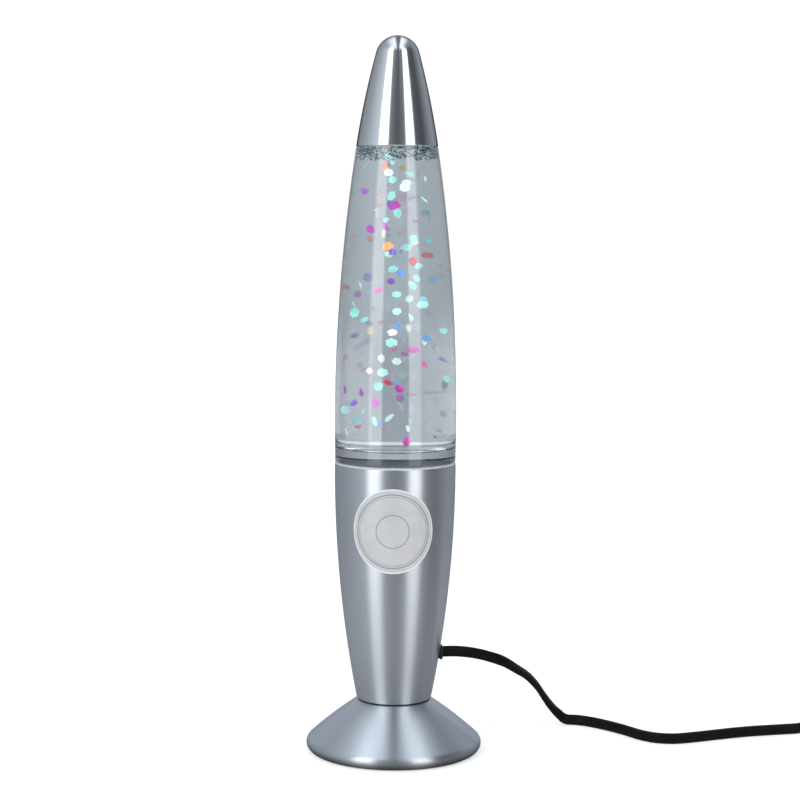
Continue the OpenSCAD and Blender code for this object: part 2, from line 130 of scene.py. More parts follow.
def light_studio():
    """The room that the lamp reflects. Heights run from -1 straight down to 1 straight up."""
    world = bpy.data.worlds.new("studio")
    scene.world = world
    world.use_nodes = True
    tree = world.node_tree
    tree.nodes.clear()
    way = node(tree, "ShaderNodeTexCoord").outputs["Generated"]
    parts = node(tree, "ShaderNodeSeparateXYZ", Vector=way).outputs
    # Turn about the lamp, in degrees: 0 is towards the camera, 90 to the right.
    back = maths(tree, "MULTIPLY", parts["Y"], -1.0)
    turn = maths(tree, "MULTIPLY", maths(tree, "ARCTAN2", parts["X"], back), 180 / math.pi)

    def graded(value, low, high, levels):
        """Cool grey light, its level set at places between low and high."""
        place = maths(tree, "DIVIDE", maths(tree, "SUBTRACT", value, low), high - low, clamp=True)
        red, green, blue = 0.90, 0.985, 1.10
        return ramp(tree, place, [((spot - low) / (high - low), (red * level, green * level, blue * level))
                                  for spot, level in levels])

    walls = graded(turn, -180, 180, [
        (-180, 0.48), (-165, 0.42), (-150, 0.37), (-135, 0.30), (-116, 0.24), (-97, 0.28), (-81, 0.35),
        (-67, 0.42), (-56, 0.45), (-24, 0.14), (-11, 0.09), (0, 0.07), (11, 0.09), (24, 0.12), (50, 0.08),
        (60, 0.07), (81, 0.05), (97, 0.11), (116, 0.20), (135, 0.29), (150, 0.37), (165, 0.42), (180, 0.48)])
    height = parts["Z"]
    # The walls are lighter higher up, and the soft boxes are brightest between table and ceiling.
    upper = soft_range(tree, height, -0.03, 0.12, 1.0, 1.5)
    walls = node(tree, "ShaderNodeVectorMath", {"operation": "MULTIPLY"}, i0=walls, i1=upper).outputs[0]
    facing = maths(tree, "MULTIPLY_ADD", window(tree, height, -0.22, 0.80, 0.08), 1.4, 0.65)
    box_edge = 2.5
    boxes = maths(tree, "MULTIPLY", facing, maths(
        tree, "ADD", window(tree, turn, -54, -27, box_edge), window(tree, turn, 26, 51, box_edge)))
    around = node(tree, "ShaderNodeVectorMath", {"operation": "ADD"}, i0=walls, i1=boxes).outputs[0]
    slope = maths(tree, "DIVIDE", parts["X"], maths(tree, "MAXIMUM", height, 0.01))
    ceiling = graded(slope, -1.5, 1.5, [
        (-1.1, 0.28), (-0.71, 0.46), (-0.52, 0.85), (-0.35, 1.05), (-0.2, 1.3), (-0.13, 0.9),
        (-0.08, 0.25), (0.09, 0.14), (0.13, 0.4), (0.18, 1.25), (0.28, 1.35), (0.36, 1.15),
        (0.47, 0.9), (0.54, 0.45), (0.7, 0.27), (1.1, 0.21)])
    below = window(tree, height, -3.0, -0.23, 0.05)
    above = window(tree, height, 0.70, 2.0, 0.12)
    lit = blend(tree, above, blend(tree, below, around, (0.95, 0.97, 1.0, 1)), ceiling)
    room = node(tree, "ShaderNodeBackground", Color=lit, Strength=1.0)
    open_white = node(tree, "ShaderNodeBackground", Color=(1, 1, 1, 1), Strength=1.05)
    seen = node(tree, "ShaderNodeLightPath").outputs["Is Camera Ray"]
    mixed = node(tree, "ShaderNodeMixShader", i0=seen, i1=room.outputs[0], i2=open_white.outputs[0])
    node(tree, "ShaderNodeOutputWorld", Surface=mixed.outputs[0])


light_studio()


def mesh_piece(name, points, faces, smooth_below=35):
    """A mesh from points in metres, shaded smooth except across edges sharper than the angle."""
    mesh = bpy.data.meshes.new(name)
    mesh.from_pydata(points, [], faces)
    made = bmesh.new()
    made.from_mesh(mesh)
    bmesh.ops.remove_doubles(made, verts=made.verts, dist=1e-7)
    bmesh.ops.recalc_face_normals(made, faces=made.faces)
    made.to_mesh(mesh)
    made.free()
    mesh.shade_smooth()
    mesh.set_sharp_from_angle(angle=math.radians(smooth_below))
    piece = bpy.data.objects.new(name, mesh)
    scene.collection.objects.link(piece)
    return piece


def fresh_material(name):
    material = bpy.data.materials.new(name)
    material.use_nodes = True
    shader = material.node_tree.nodes["Principled BSDF"]
    return material, material.node_tree, shader


def lay_table():
    """A table top in metres, and a glowing disc that polished metal sees in the table's place: a painted
    reflection of the table top, darkened under the foot as a painted contact shadow.
    """
    half = 4.0
    table = mesh_piece("table", [(-half, -half, 0), (half, -half, 0), (half, half, 0), (-half, half, 0)],
                       [(0, 1, 2, 3)])
    material, tree, shader = fresh_material("pale_table")
    grain = node(tree, "ShaderNodeTexNoise", Scale=6.0, Detail=3.0).outputs["Fac"]
    tone = ramp(tree, grain, [(0.3, (0.86, 0.86, 0.86)), (0.7, (0.9, 0.9, 0.9))])
    tree.links.new(tone, shader.inputs["Base Color"])
    shader.inputs["Roughness"].default_value = 0.8
    shader.inputs["Specular IOR Level"].default_value = 0.1
    shader.inputs["Emission Color"].default_value = (1, 1, 1, 1)
    shader.inputs["Emission Strength"].default_value = 0.55
    table.data.materials.append(material)
    table.visible_glossy = False
    table.visible_transmission = False
    reach, sides, just_under = 0.52, 64, -0.0002
    rim = [(reach * math.cos(math.tau * k / sides), reach * math.sin(math.tau * k / sides), just_under)
           for k in range(sides)]
    sheen = mesh_piece("table_in_metal", rim, [tuple(range(sides))])
    reflected_table_glow, tree, shader = fresh_material("painted_table_reflection")
    shader.inputs["Base Color"].default_value = (0, 0, 0, 1)
    shader.inputs["Emission Strength"].default_value = 1.0
    away = length_of(tree, node(tree, "ShaderNodeTexCoord").outputs["Object"])
    # The glow is dark within the foot's reach and brighter further out: painted contact shadow, seen only in
    # the metal's reflection.
    tree.links.new(ramp(tree, away, [(0.042, (0.02, 0.02, 0.02)), (0.05, (0.16, 0.165, 0.17)),
                                     (0.1, (0.36, 0.37, 0.38)), (0.2, (0.42, 0.43, 0.45))]),
                   shader.inputs["Emission Color"])
    sheen.data.materials.append(reflected_table_glow)
    for kind in ("camera", "diffuse", "transmission", "volume_scatter", "shadow"):
        setattr(sheen, "visible_" + kind, False)


lay_table()


# ---- Foot ----
# One disc of aluminium, spun over a former into a flared foot with a rolled
# rim, then turned to a satin finish. The shell stands on its top plate.

def eased(corners, steps=5):
    """An outline from corners (radius, height, easing), each rounded off by its easing."""
    outline = []
    for i, (radius, height, easing) in enumerate(corners):
        if not easing:
            outline.append((radius, height))
            continue
        here = Vector((radius, height))
        to_last = (Vector(corners[i - 1][:2]) - here).normalized()
        to_next = (Vector(corners[(i + 1) % len(corners)][:2]) - here).normalized()
        half = to_last.angle(to_next) / 2
        centre = here + (to_last + to_next).normalized() * easing / math.sin(half)
        first = here + to_last * easing / math.tan(half) - centre
        last = here + to_next * easing / math.tan(half) - centre
        start = math.atan2(first.y, first.x)
        sweep = (math.atan2(last.y, last.x) - start + math.pi) % math.tau - math.pi
        outline += [(centre.x + easing * math.cos(start + sweep * k / steps),
                     centre.y + easing * math.sin(start + sweep * k / steps)) for k in range(steps + 1)]
    return outline


def arc(centre, radius, start, end, steps):
    """Points along an arc, angles in degrees, both ends included."""
    return [(centre[0] + radius * math.cos(math.radians(start + (end - start) * k / steps)),
             centre[1] + radius * math.sin(math.radians(start + (end - start) * k / steps)))
            for k in range(steps + 1)]


def turned(name, outline, steps=192, place=None, smooth_below=35):
    """Spin a closed outline of (radius, height) in millimetres about the upright axis."""
    points = [
        (r * math.cos(math.tau * k / steps) / 1000, r * math.sin(math.tau * k / steps) / 1000, z / 1000)
        for k in range(steps) for r, z in outline
    ]
    count = len(outline)
    faces = []
    for k in range(steps):
        here, there = k * count, (k + 1) % steps * count
        for i in range(count):
            j = (i + 1) % count
            if outline[i][0] < 1e-6 and outline[j][0] < 1e-6:
                continue
            quad = (here + i, there + i, there + j, here + j)
            if outline[i][0] < 1e-6:
                quad = (here + i, there + j, here + j)
            elif outline[j][0] < 1e-6:
                quad = (here + i, there + i, here + j)
            faces.append(quad)
    if place:
        points = [tuple(place @ Vector(p)) for p in points]
    return mesh_piece(name, points, faces, smooth_below)


def new_group(name, inputs, outputs):
    """A shader node group with float and colour sockets."""
    kinds = {"value": "NodeSocketFloat", "colour": "NodeSocketColor"}
    group = bpy.data.node_groups.new(name, "ShaderNodeTree")
    for label, kind in inputs:
        group.interface.new_socket(name=label, in_out="INPUT", socket_type=kinds[kind])
    for label, kind in outputs:
        group.interface.new_socket(name=label, in_out="OUTPUT", socket_type=kinds[kind])
    return group, group.nodes.new("NodeGroupInput").outputs, group.nodes.new("NodeGroupOutput").inputs


def give_out(group, result, **values):
    """Wire values to a group's outputs of the same names."""
    for name, value in values.items():
        group.links.new(value, result[name])


def use_skin(tree, shader, skin, depth, distance):
    """Wire a skin group's colour, roughness and height into a material's shader."""
    tree.links.new(skin["Colour"], shader.inputs["Base Color"])
    tree.links.new(skin["Roughness"], shader.inputs["Roughness"])
    dent = node(tree, "ShaderNodeBump", Strength=depth, Distance=distance, Height=skin["Height"])
    tree.links.new(dent.outputs[0], shader.inputs["Normal"])


def tune(shader, **values):
    """Set a shader's own sockets. Their names are written with underscores."""
    for key, value in values.items():
        shader.inputs[key.replace("_", " ")].default_value = value


def make_turned_grain():
    """Rings left by the turning tool, with faint long blotches from handling."""
    group, given, result = new_group(
        "turned_grain",
        [("Colour", "colour"), ("Rings per mm", "value"), ("Ring contrast", "value"),
         ("Shine", "value"), ("Shine spread", "value")],
        [("Colour", "colour"), ("Roughness", "value"), ("Height", "value")])
    at = node(group, "ShaderNodeTexCoord").outputs["Object"]
    parts = node(group, "ShaderNodeSeparateXYZ", Vector=at).outputs
    flat = node(group, "ShaderNodeCombineXYZ", X=parts["X"], Y=parts["Y"], Z=0.0).outputs[0]
    out = length_of(group, flat)
    along = maths(group, "MULTIPLY", maths(group, "SUBTRACT", out, parts["Z"]), 1000.0)
    fine = node(group, "ShaderNodeTexNoise", {"noise_dimensions": "1D"}, Detail=3.0, Roughness=0.7,
                W=maths(group, "MULTIPLY", along, given["Rings per mm"]), Scale=1.0).outputs["Fac"]
    broad = node(group, "ShaderNodeTexNoise", {"noise_dimensions": "1D"}, Detail=2.0, W=along,
                 Scale=0.35).outputs["Fac"]
    blotch = noise(group, at, 45.0, 4.0)
    ring_tone = maths(group, "SUBTRACT", maths(group, "MULTIPLY_ADD", fine, 0.6, maths(
        group, "MULTIPLY", broad, 0.4)), 0.5)
    tone = maths(group, "MULTIPLY_ADD", ring_tone, given["Ring contrast"], 1.0)
    mottle = maths(group, "ADD", ring_tone, maths(group, "SUBTRACT", blotch, 0.5))
    rough = maths(group, "MULTIPLY_ADD", mottle, given["Shine spread"], given["Shine"])
    give_out(group, result, Colour=scaled(group, given["Colour"], tone), Roughness=rough, Height=fine)
    return group


turned_grain = make_turned_grain()


def turned_metal(name, colour, rings, contrast, shine, spread, depth, pull, edge):
    """Turned aluminium: the rings stretch each highlight up and down the piece."""
    material, tree, shader = fresh_material(name)
    grain = node(tree, "ShaderNodeGroup", {"node_tree": turned_grain}, Colour=(*colour, 1),
                 Rings_per_mm=rings, Ring_contrast=contrast, Shine=shine, Shine_spread=spread).outputs
    use_skin(tree, shader, grain, depth, 0.00002)
    tune(shader, Metallic=1.0, Anisotropic=pull, Anisotropic_Rotation=0.25,
         Specular_Tint=(edge, edge, edge, 1))
    lie = node(tree, "ShaderNodeTangent", {"direction_type": "RADIAL", "axis": "Z"})
    tree.links.new(lie.outputs[0], shader.inputs["Tangent"])
    return material


satin_metal = turned_metal("satin_turned_metal", (0.715, 0.75, 0.79), 5.0, 0.10, 0.38, 0.08, 0.12, 0.88, 0.6)

foot_top = 25.0
neck_radius = 17.8
roll_centre = (38.2, 3.9)
roll_radius = 3.8
sheet_metal = 1.2
tube_hole = 5.2
roll_run = math.hypot(roll_centre[0] - neck_radius, foot_top - roll_centre[1])
flank_dip = math.degrees(math.atan2(foot_top - roll_centre[1], roll_centre[0] - neck_radius)
                         - math.asin(roll_radius / roll_run))
flank_swell = 4.0
roll_start = 90 - flank_dip - flank_swell


def flank(steps):
    """The flank swells a little: it curves from the neck until it lies along the roll."""
    start = Vector((neck_radius, foot_top))
    end = Vector(arc(roll_centre, roll_radius, roll_start, roll_start, 1)[0])
    lie = Vector((math.sin(math.radians(roll_start)), -math.cos(math.radians(roll_start))))
    bend = end - lie * (end - start).length / 2
    return [tuple(start * (1 - t) ** 2 + bend * 2 * t * (1 - t) + end * t * t)
            for t in (k / steps for k in range(1, steps))]


foot_outline = (
    eased([(tube_hole, foot_top, 0), (neck_radius, foot_top, 0.45), (*flank(24)[0], 0)])[:-1]
    + flank(24)[1:]
    + arc(roll_centre, roll_radius, roll_start, -90, 28)
    + [(roll_centre[0] - 3, 0.1), (roll_centre[0] - 3, 0.1 + sheet_metal)]
    + arc(roll_centre, roll_radius - sheet_metal, -90, 90 - flank_dip, 20)
    + [(neck_radius - 0.6, foot_top - 1.5), (tube_hole, foot_top - 1.5)]
)
foot = turned("foot_spun", foot_outline, 256)
foot.data.materials.append(satin_metal)
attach(foot, "base")
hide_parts("foot_skirt")


# ---- Pad and ballast ----
# A ring of black felt glued under the foot, and the cast iron disc above it
# that keeps the lamp from tipping. Both are hidden when the lamp stands.

def make_fibre_tangle():
    """Short fibres lying every way, as in felt or a woven strap."""
    group, given, result = new_group(
        "fibre_tangle", [("Colour", "colour"), ("Fibres per m", "value"), ("Contrast", "value")],
        [("Colour", "colour"), ("Roughness", "value"), ("Height", "value")])
    at = node(group, "ShaderNodeTexCoord").outputs["Object"]
    swirl = noise(group, at, given["Fibres per m"], 5.0, Roughness=0.7, Distortion=2.5)
    tuft = node(group, "ShaderNodeTexVoronoi", {"feature": "DISTANCE_TO_EDGE"}, Vector=at,
                Scale=given["Fibres per m"]).outputs["Distance"]
    both = maths(group, "MULTIPLY_ADD", tuft, 0.5, swirl)
    tone = maths(group, "MULTIPLY_ADD", maths(group, "SUBTRACT", both, 0.5), given["Contrast"], 1.0)
    rough = maths(group, "MULTIPLY_ADD", swirl, 0.15, 0.82)
    give_out(group, result, Colour=scaled(group, given["Colour"], tone), Roughness=rough, Height=both)
    return group


fibre_tangle = make_fibre_tangle()


def fibre_cloth(name, colour, fibres, contrast, depth):
    material, tree, shader = fresh_material(name)
    cloth = node(tree, "ShaderNodeGroup", {"node_tree": fibre_tangle}, Colour=(*colour, 1),
                 Fibres_per_m=fibres, Contrast=contrast).outputs
    use_skin(tree, shader, cloth, depth, 0.0002)
    tune(shader, Sheen_Weight=0.3)
    return material


def make_cast_skin():
    """Fine pits and slow changes of tone, for castings, mouldings and small metal parts."""
    group, given, result = new_group(
        "cast_skin",
        [("Colour", "colour"), ("Pits per m", "value"), ("Tone change", "value"),
         ("Shine", "value"), ("Shine spread", "value")],
        [("Colour", "colour"), ("Roughness", "value"), ("Height", "value")])
    at = node(group, "ShaderNodeTexCoord").outputs["Object"]
    pits = noise(group, at, given["Pits per m"], 3.0, Roughness=0.6)
    slow = noise(group, at, 70.0, 2.0)
    lean_to = maths(group, "SUBTRACT", maths(group, "MULTIPLY_ADD", pits, 0.35, maths(
        group, "MULTIPLY", slow, 0.65)), 0.5)
    tone = maths(group, "MULTIPLY_ADD", lean_to, given["Tone change"], 1.0)
    rough = maths(group, "MULTIPLY_ADD", lean_to, given["Shine spread"], given["Shine"])
    give_out(group, result, Colour=scaled(group, given["Colour"], tone), Roughness=rough, Height=pits)
    return group


cast_skin = make_cast_skin()


def skinned(name, colour, pits, change, shine, spread, depth, metal=0.0, coat=0.0, deep=0.00005, **more):
    """A solid material with a cast, moulded or plated skin. More names other sockets of its shader."""
    material, tree, shader = fresh_material(name)
    skin = node(tree, "ShaderNodeGroup", {"node_tree": cast_skin}, Colour=(*colour, 1), Pits_per_m=pits,
                Tone_change=change, Shine=shine, Shine_spread=spread).outputs
    use_skin(tree, shader, skin, depth, deep)
    tune(shader, Metallic=metal, Coat_Weight=coat, Coat_Roughness=0.08, **more)
    return material


def give(material, slot, *names):
    """Put a material on CAD nodes that are shown as they are."""
    for name in names:
        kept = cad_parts[name]
        kept.data.materials.clear()
        kept.data.materials.append(material)


pad_outer = roll_centre[0] - 3.2
pad_inner, pad_thick = 6, 1.6
pad = turned("felt_pad", eased([(pad_inner, 0.0, 0.3), (pad_outer, 0.0, 0.4), (pad_outer, pad_thick, 0.3),
                                (pad_inner, pad_thick, 0.3)]), 128)
pad.data.materials.append(fibre_cloth("black_felt", (0.02, 0.02, 0.022), 900, 0.7, 0.6))
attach(pad, "base")
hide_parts("foot_pad")
give(skinned("cast_iron", (0.10, 0.10, 0.105), 700, 0.9, 0.62, 0.3, 0.5, metal=0.6, deep=0.0002),
     "ballast", "foot_weight")


# ---- Tube, nuts and washer ----
# A zinc-plated threaded tube runs from under the foot into the lamp holder.
# A brass nut and a washer under the foot, and a nut in the shell, clamp them.

zinc_plate = skinned("zinc_plate", (0.62, 0.62, 0.60), 500, 0.5, 0.32, 0.2, 0.2, metal=1.0)
bright_brass = skinned("bright_brass", (0.80, 0.60, 0.27), 600, 0.4, 0.24, 0.2, 0.15, metal=1.0)
give(zinc_plate, "zinc_steel", "lock_washer", "switch_screws")
give(bright_brass, "brass", "foot_nut", "shell_nut")


def threaded_rod(name, low, high, outer, bore, pitch):
    """A tube whose outside is a run of ridges, one for each pitch."""
    outline = [(bore, low), (outer - 0.5, low)]
    z = low + 0.3
    while z + pitch < high:
        outline += [(outer - 0.45, z), (outer - 0.02, z + pitch * 0.45), (outer - 0.02, z + pitch * 0.55)]
        z += pitch
    outline += [(outer - 0.5, high), (bore, high)]
    return turned(name, outline, 64)


tube = threaded_rod("threaded_tube_cut", 14, 42, 5, 3.5, 1.0)
tube.data.materials.append(zinc_plate)
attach(tube, "base")
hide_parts("threaded_tube")


# ---- Neck ring ----
# A thin black rubber ring in the joint between foot and shell. It shows as a
# dark line between the two bright metal edges.

dull_rubber = skinned("dull_rubber", (0.012, 0.012, 0.013), 900, 0.5, 0.55, 0.2, 0.3)
shell_base = 25.8
seal_radius = 17.1
neck_seal = turned("neck_seal", eased([
    (tube_hole, foot_top, 0), (seal_radius, foot_top, 0.25), (seal_radius, shell_base, 0.25),
    (tube_hole, shell_base, 0)]), 192)
neck_seal.data.materials.append(dull_rubber)
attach(neck_seal, "base")
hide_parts("neck_ring")


# ---- Shell ----
# A tapering tube of turned aluminium with a closed bottom, clamped on the
# foot. Its rim holds the bottle, and the flex leaves low on its right side.

shell_top = 139.2
shell_waist = 28.75
shell_widest = 136.5
shell_curve = 570
rim_start = 136
curve_low, curve_high = 27.5, 138.4


def shell_radius(z, inset=0.0):
    """Outer radius of the shell at a height, less an inset."""
    return shell_waist - shell_curve + math.sqrt((shell_curve - inset) ** 2 - (z - shell_widest) ** 2)


def stretch(radius_at, low, high, steps):
    """Outline points along a side whose radius depends on the height."""
    heights = [low + (high - low) * k / steps for k in range(steps + 1)]
    return [(radius_at(z), z) for z in heights]


shell_outline = (
    [(tube_hole, shell_base)]
    + eased([(tube_hole, shell_base, 0), (shell_radius(shell_base), shell_base, 0.5),
             (shell_radius(30), 30, 0)])[1:-1]
    + stretch(shell_radius, curve_low, curve_high, 100)
    + eased([(shell_radius(rim_start), rim_start, 0), (shell_radius(shell_top), shell_top, 0.45),
             (shell_radius(shell_top) - sheet_metal, shell_top, 0.35),
             (shell_radius(rim_start, sheet_metal), rim_start, 0)])[1:-1]
    + stretch(lambda z: shell_radius(z, sheet_metal), curve_high, 27.6, 60)
    + [(tube_hole, 27.3)]
)
shell = turned("shell_turned", shell_outline, 256)


def cut_away(piece, cutter):
    """Cut another mesh out of a piece and drop it."""
    cut = piece.modifiers.new("cut", "BOOLEAN")
    cut.object = cutter
    cut.solver = "EXACT"
    bpy.context.view_layer.update()
    finished = piece.evaluated_get(bpy.context.evaluated_depsgraph_get())
    mesh = bpy.data.meshes.new_from_object(finished)
    piece.modifiers.clear()
    piece.data = mesh
    bpy.data.objects.remove(cutter)


exit_turn = math.radians(6)
exit_height = 47.0
out_from_axis = (Matrix.Rotation(exit_turn, 4, "Z") @ Matrix.Translation((0, 0, exit_height / 1000))
                 @ Matrix.Rotation(math.radians(90), 4, "Y"))
hole = turned("exit_hole", [(0, 15), (3.3, 15), (3.3, 30), (0, 30)], 48, out_from_axis)
cut_away(shell, hole)
shell.data.materials.append(satin_metal)
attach(shell, "base")
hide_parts("lamp_shell")


# ---- Flex bush ----
# A black rubber bush pressed into the hole in the shell. Its flange keeps the
# flex off the metal edge.

bush = turned("exit_bush", eased([
    (2.0, 18, 0), (3.2, 18, 0.3), (3.2, 22.3, 0), (3.7, 22.2, 0.15), (3.7, 23.0, 0.35), (3.1, 23.35, 0.25),
    (2.0, 23.35, 0.2)]), 64, out_from_axis)
bush.data.materials.append(dull_rubber)
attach(bush, "base")
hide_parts("cord_bush")


# ---- Label ----
# A round sticker of silvered film on the front of the shell. It has a white
# edge and a plain pattern of fine grey rings, and carries no words.

label_turn = math.radians(2.2)
label_middle = 110.3
label_radius = 20.0
label_lift = 0.13


def wrapped_disc(name, rings, spokes):
    """The sticker laid round the front of the shell. Its UV map holds it flat, 0 to 1."""
    points, flat = [], []
    for k in range(rings + 1):
        for j in range(spokes):
            out = label_radius * k / rings
            across, up = out * math.cos(math.tau * j / spokes), out * math.sin(math.tau * j / spokes)
            z = label_middle + up
            skin = shell_radius(z) + (label_lift if k < rings else 0.01)
            turn = across / shell_radius(z) - label_turn
            points.append((skin * math.sin(turn) / 1000, -skin * math.cos(turn) / 1000, z / 1000))
            flat.append((0.5 + across / (2 * label_radius), 0.5 + up / (2 * label_radius)))
    faces = [(k * spokes + j, k * spokes + (j + 1) % spokes, (k + 1) * spokes + (j + 1) % spokes,
              (k + 1) * spokes + j) for k in range(rings) for j in range(spokes)]
    mesh = bpy.data.meshes.new(name)
    mesh.from_pydata(points, [], faces)
    map_ = mesh.uv_layers.new(name="sticker")
    for loop in mesh.loops:
        map_.data[loop.index].uv = flat[loop.vertex_index]
    mesh.shade_smooth()
    piece = bpy.data.objects.new(name, mesh)
    scene.collection.objects.link(piece)
    return piece


def label_film():
    """Silvered film, printed by its distance from the sticker's middle in millimetres."""
    material, tree, shader = fresh_material("label_film")
    spot = node(tree, "ShaderNodeUVMap", {"uv_map": "sticker"}).outputs[0]
    middle = (0.5, 0.5, 0)
    centred = node(tree, "ShaderNodeVectorMath", {"operation": "SUBTRACT"}, i0=spot, i1=middle).outputs[0]
    out = maths(tree, "MULTIPLY", length_of(tree, centred), 2 * label_radius)
    fleck = noise(tree, spot, 160.0, 2.0)
    cloud = noise(tree, spot, 5.0, 3.0)
    silver = ramp(tree, maths(tree, "MULTIPLY_ADD", fleck, 0.35, maths(tree, "MULTIPLY", cloud, 0.65)),
                  [(0.35, (0.55, 0.545, 0.54)), (0.65, (0.63, 0.62, 0.61))])
    lines = maths(tree, "ADD", window(tree, out, 17.1, 17.7, 0.06), window(tree, out, 16.2, 16.5, 0.06))
    lines = maths(tree, "ADD", lines, window(tree, out, 7.5, 8.0, 0.06))
    ringed = blend(tree, maths(tree, "MULTIPLY", lines, 0.75), silver, (0.20, 0.23, 0.27, 1))
    edged = blend(tree, window(tree, out, 19.45, 30.0, 0.08), ringed, (0.88, 0.89, 0.90, 1))
    tree.links.new(edged, shader.inputs["Base Color"])
    tree.links.new(node(tree, "ShaderNodeMapRange", Value=fleck, To_Min=0.40, To_Max=0.52).outputs[0],
                   shader.inputs["Roughness"])
    press = node(tree, "ShaderNodeBump", Strength=0.15, Distance=0.00003, Height=fleck)
    tree.links.new(press.outputs[0], shader.inputs["Normal"])
    return material


label = wrapped_disc("label_sticker", 24, 128)
label.data.materials.append(label_film())
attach(label, "base")
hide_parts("label")


# ---- Rest ring ----
# A milky silicone ring on the shell's rim, under the bottle's shoulder. It
# stops the glass from ringing and chipping on the metal.

def clear_material(name, colour, shine, bend):
    """Clear glass or liquid whose colour is faintly uneven."""
    material, tree, shader = fresh_material(name)
    wave = noise(tree, node(tree, "ShaderNodeTexCoord").outputs["Object"], 60.0, 2.0)
    darker = tuple(c * 0.98 for c in colour)
    tone = ramp(tree, wave, [(0.3, darker), (0.7, colour)])
    tree.links.new(tone, shader.inputs["Base Color"])
    tune(shader, Roughness=shine, IOR=bend, Transmission_Weight=1.0)
    return material


shoulder = 139.7
rest_inner, rest_outer = shell_waist - 1.3, shell_waist - 0.2
rest = turned("silicone_rest", eased([
    (rest_inner, shell_top, 0.12), (rest_outer, shell_top, 0.12), (rest_outer, shoulder, 0.2),
    (rest_inner, shoulder, 0.12)], 4), 192)
rest.data.materials.append(skinned("milky_silicone", (0.86, 0.88, 0.89), 600, 0.06, 0.35, 0.1, 0.1))
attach(rest, "base")
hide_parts("rest_ring")


# ---- Lamp holder ----
# A moulded black holder screwed on the tube: cap, body and ring outside, with
# a brass contact shell, centre contact and terminal screws inside.

bakelite = skinned("black_bakelite", (0.018, 0.015, 0.013), 500, 0.6, 0.22, 0.15, 0.12, coat=0.2)
holder_radius = 13
holder_cap = turned("holder_cap_moulded", eased([
    (5.0, 34, 0.2), (8, 34, 1.0), (holder_radius, 43, 1.0), (holder_radius, 48, 0.3), (9.5, 48, 0.2),
    (9.5, 42, 0.3), (5.0, 42, 0.2)]), 128)
holder_cap.data.materials.append(bakelite)
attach(holder_cap, "base")
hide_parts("holder_cap")

body_ribs = []
for k in range(6):
    z = 50.2 + 2.0 * k
    body_ribs += [(holder_radius, z, 0.2), (holder_radius - 0.4, z + 0.5, 0.2), (holder_radius, z + 1.0, 0.2)]
holder_body = turned("holder_body_moulded", eased(
    [(7.8, 48, 0), (holder_radius, 48, 0.3)] + body_ribs + [
        (holder_radius, 80, 0.6), (9.6, 80, 0.4), (9.6, 70, 0.2), (7.8, 70, 0.3), (7.8, 50.8, 0.2),
        (0, 50.8, 0), (0, 48, 0)],
    3), 128)
holder_body.data.materials.append(bakelite)
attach(holder_body, "base")
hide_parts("holder_body")


def knurled_ring(name, inner, outer, low, high, teeth):
    """A ring with finger grips round its edge."""
    points, faces = [], []
    steps = teeth * 6
    rows = [(inner, low), (outer - 0.4, low), (outer, low + 0.5), (outer, high - 0.5),
            (outer - 0.4, high), (inner, high)]
    for k in range(steps):
        turn = math.tau * k / steps
        dip = 0.25 * (1 - math.cos(math.tau * (k % 6) / 6))
        for r, z in rows:
            reach = r - dip if r > inner else r
            points.append((reach * math.cos(turn) / 1000, reach * math.sin(turn) / 1000, z / 1000))
    for k in range(steps):
        for i in range(6):
            j = (i + 1) % 6
            faces.append((k * 6 + i, (k + 1) % steps * 6 + i, (k + 1) % steps * 6 + j, k * 6 + j))
    return mesh_piece(name, points, faces)


grip = knurled_ring("holder_ring_knurled", holder_radius, 15.2, 64, 69, 36)
grip.data.materials.append(bakelite)
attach(grip, "base")
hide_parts("holder_ring")

give(bright_brass, "brass",
     "screw_shell", "centre_contact", "terminal_screws", "contact_arm", "switch_terminals")
give(skinned("lead_insulation", (0.16, 0.055, 0.02), 500, 0.5, 0.4, 0.2, 0.15),
     "lead_insulation", "inner_leads")


# ---- Bulb ----
# A small reflector bulb: silvered sides, a frosted crown, a threaded cap with
# a black glass insulator, and a clear stem that carries the filament.

flare = 80.0
crown_edge = 105.0
reflector = 19.5
bulb_wall = 0.8
crown_curve = 24.0
crown_middle = crown_edge - math.sqrt(crown_curve ** 2 - reflector ** 2)
silvered = turned("bulb_reflector", eased([
    (8, 73, 0.3), (8, flare, 4.0), (reflector, crown_edge - 2, 3.0), (reflector, crown_edge, 0),
    (reflector - bulb_wall, crown_edge, 0), (reflector - bulb_wall, crown_edge - 2, 2.4), (7.2, flare, 3.6),
    (7.2, 73, 0.3)]), 128)
silvered.data.materials.append(
    skinned("silvered_glass", (0.80, 0.81, 0.82), 120, 0.15, 0.10, 0.06, 0.05, metal=1.0))
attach(silvered, "bulb")
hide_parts("bulb_glass")

edge_angle = math.degrees(math.asin((crown_edge - crown_middle) / crown_curve))
inner_angle = math.degrees(math.acos((reflector - bulb_wall) / (crown_curve - bulb_wall)))
frosted = turned("bulb_crown", arc((0, crown_middle), crown_curve, edge_angle, 90, 24)
                 + arc((0, crown_middle), crown_curve - bulb_wall, 90, inner_angle, 24), 128)
frosted.data.materials.append(skinned("frosted_glass", (0.80, 0.81, 0.80), 1500, 0.1, 0.45, 0.1, 0.2,
                                      Transmission_Weight=0.35))
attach(frosted, "bulb")

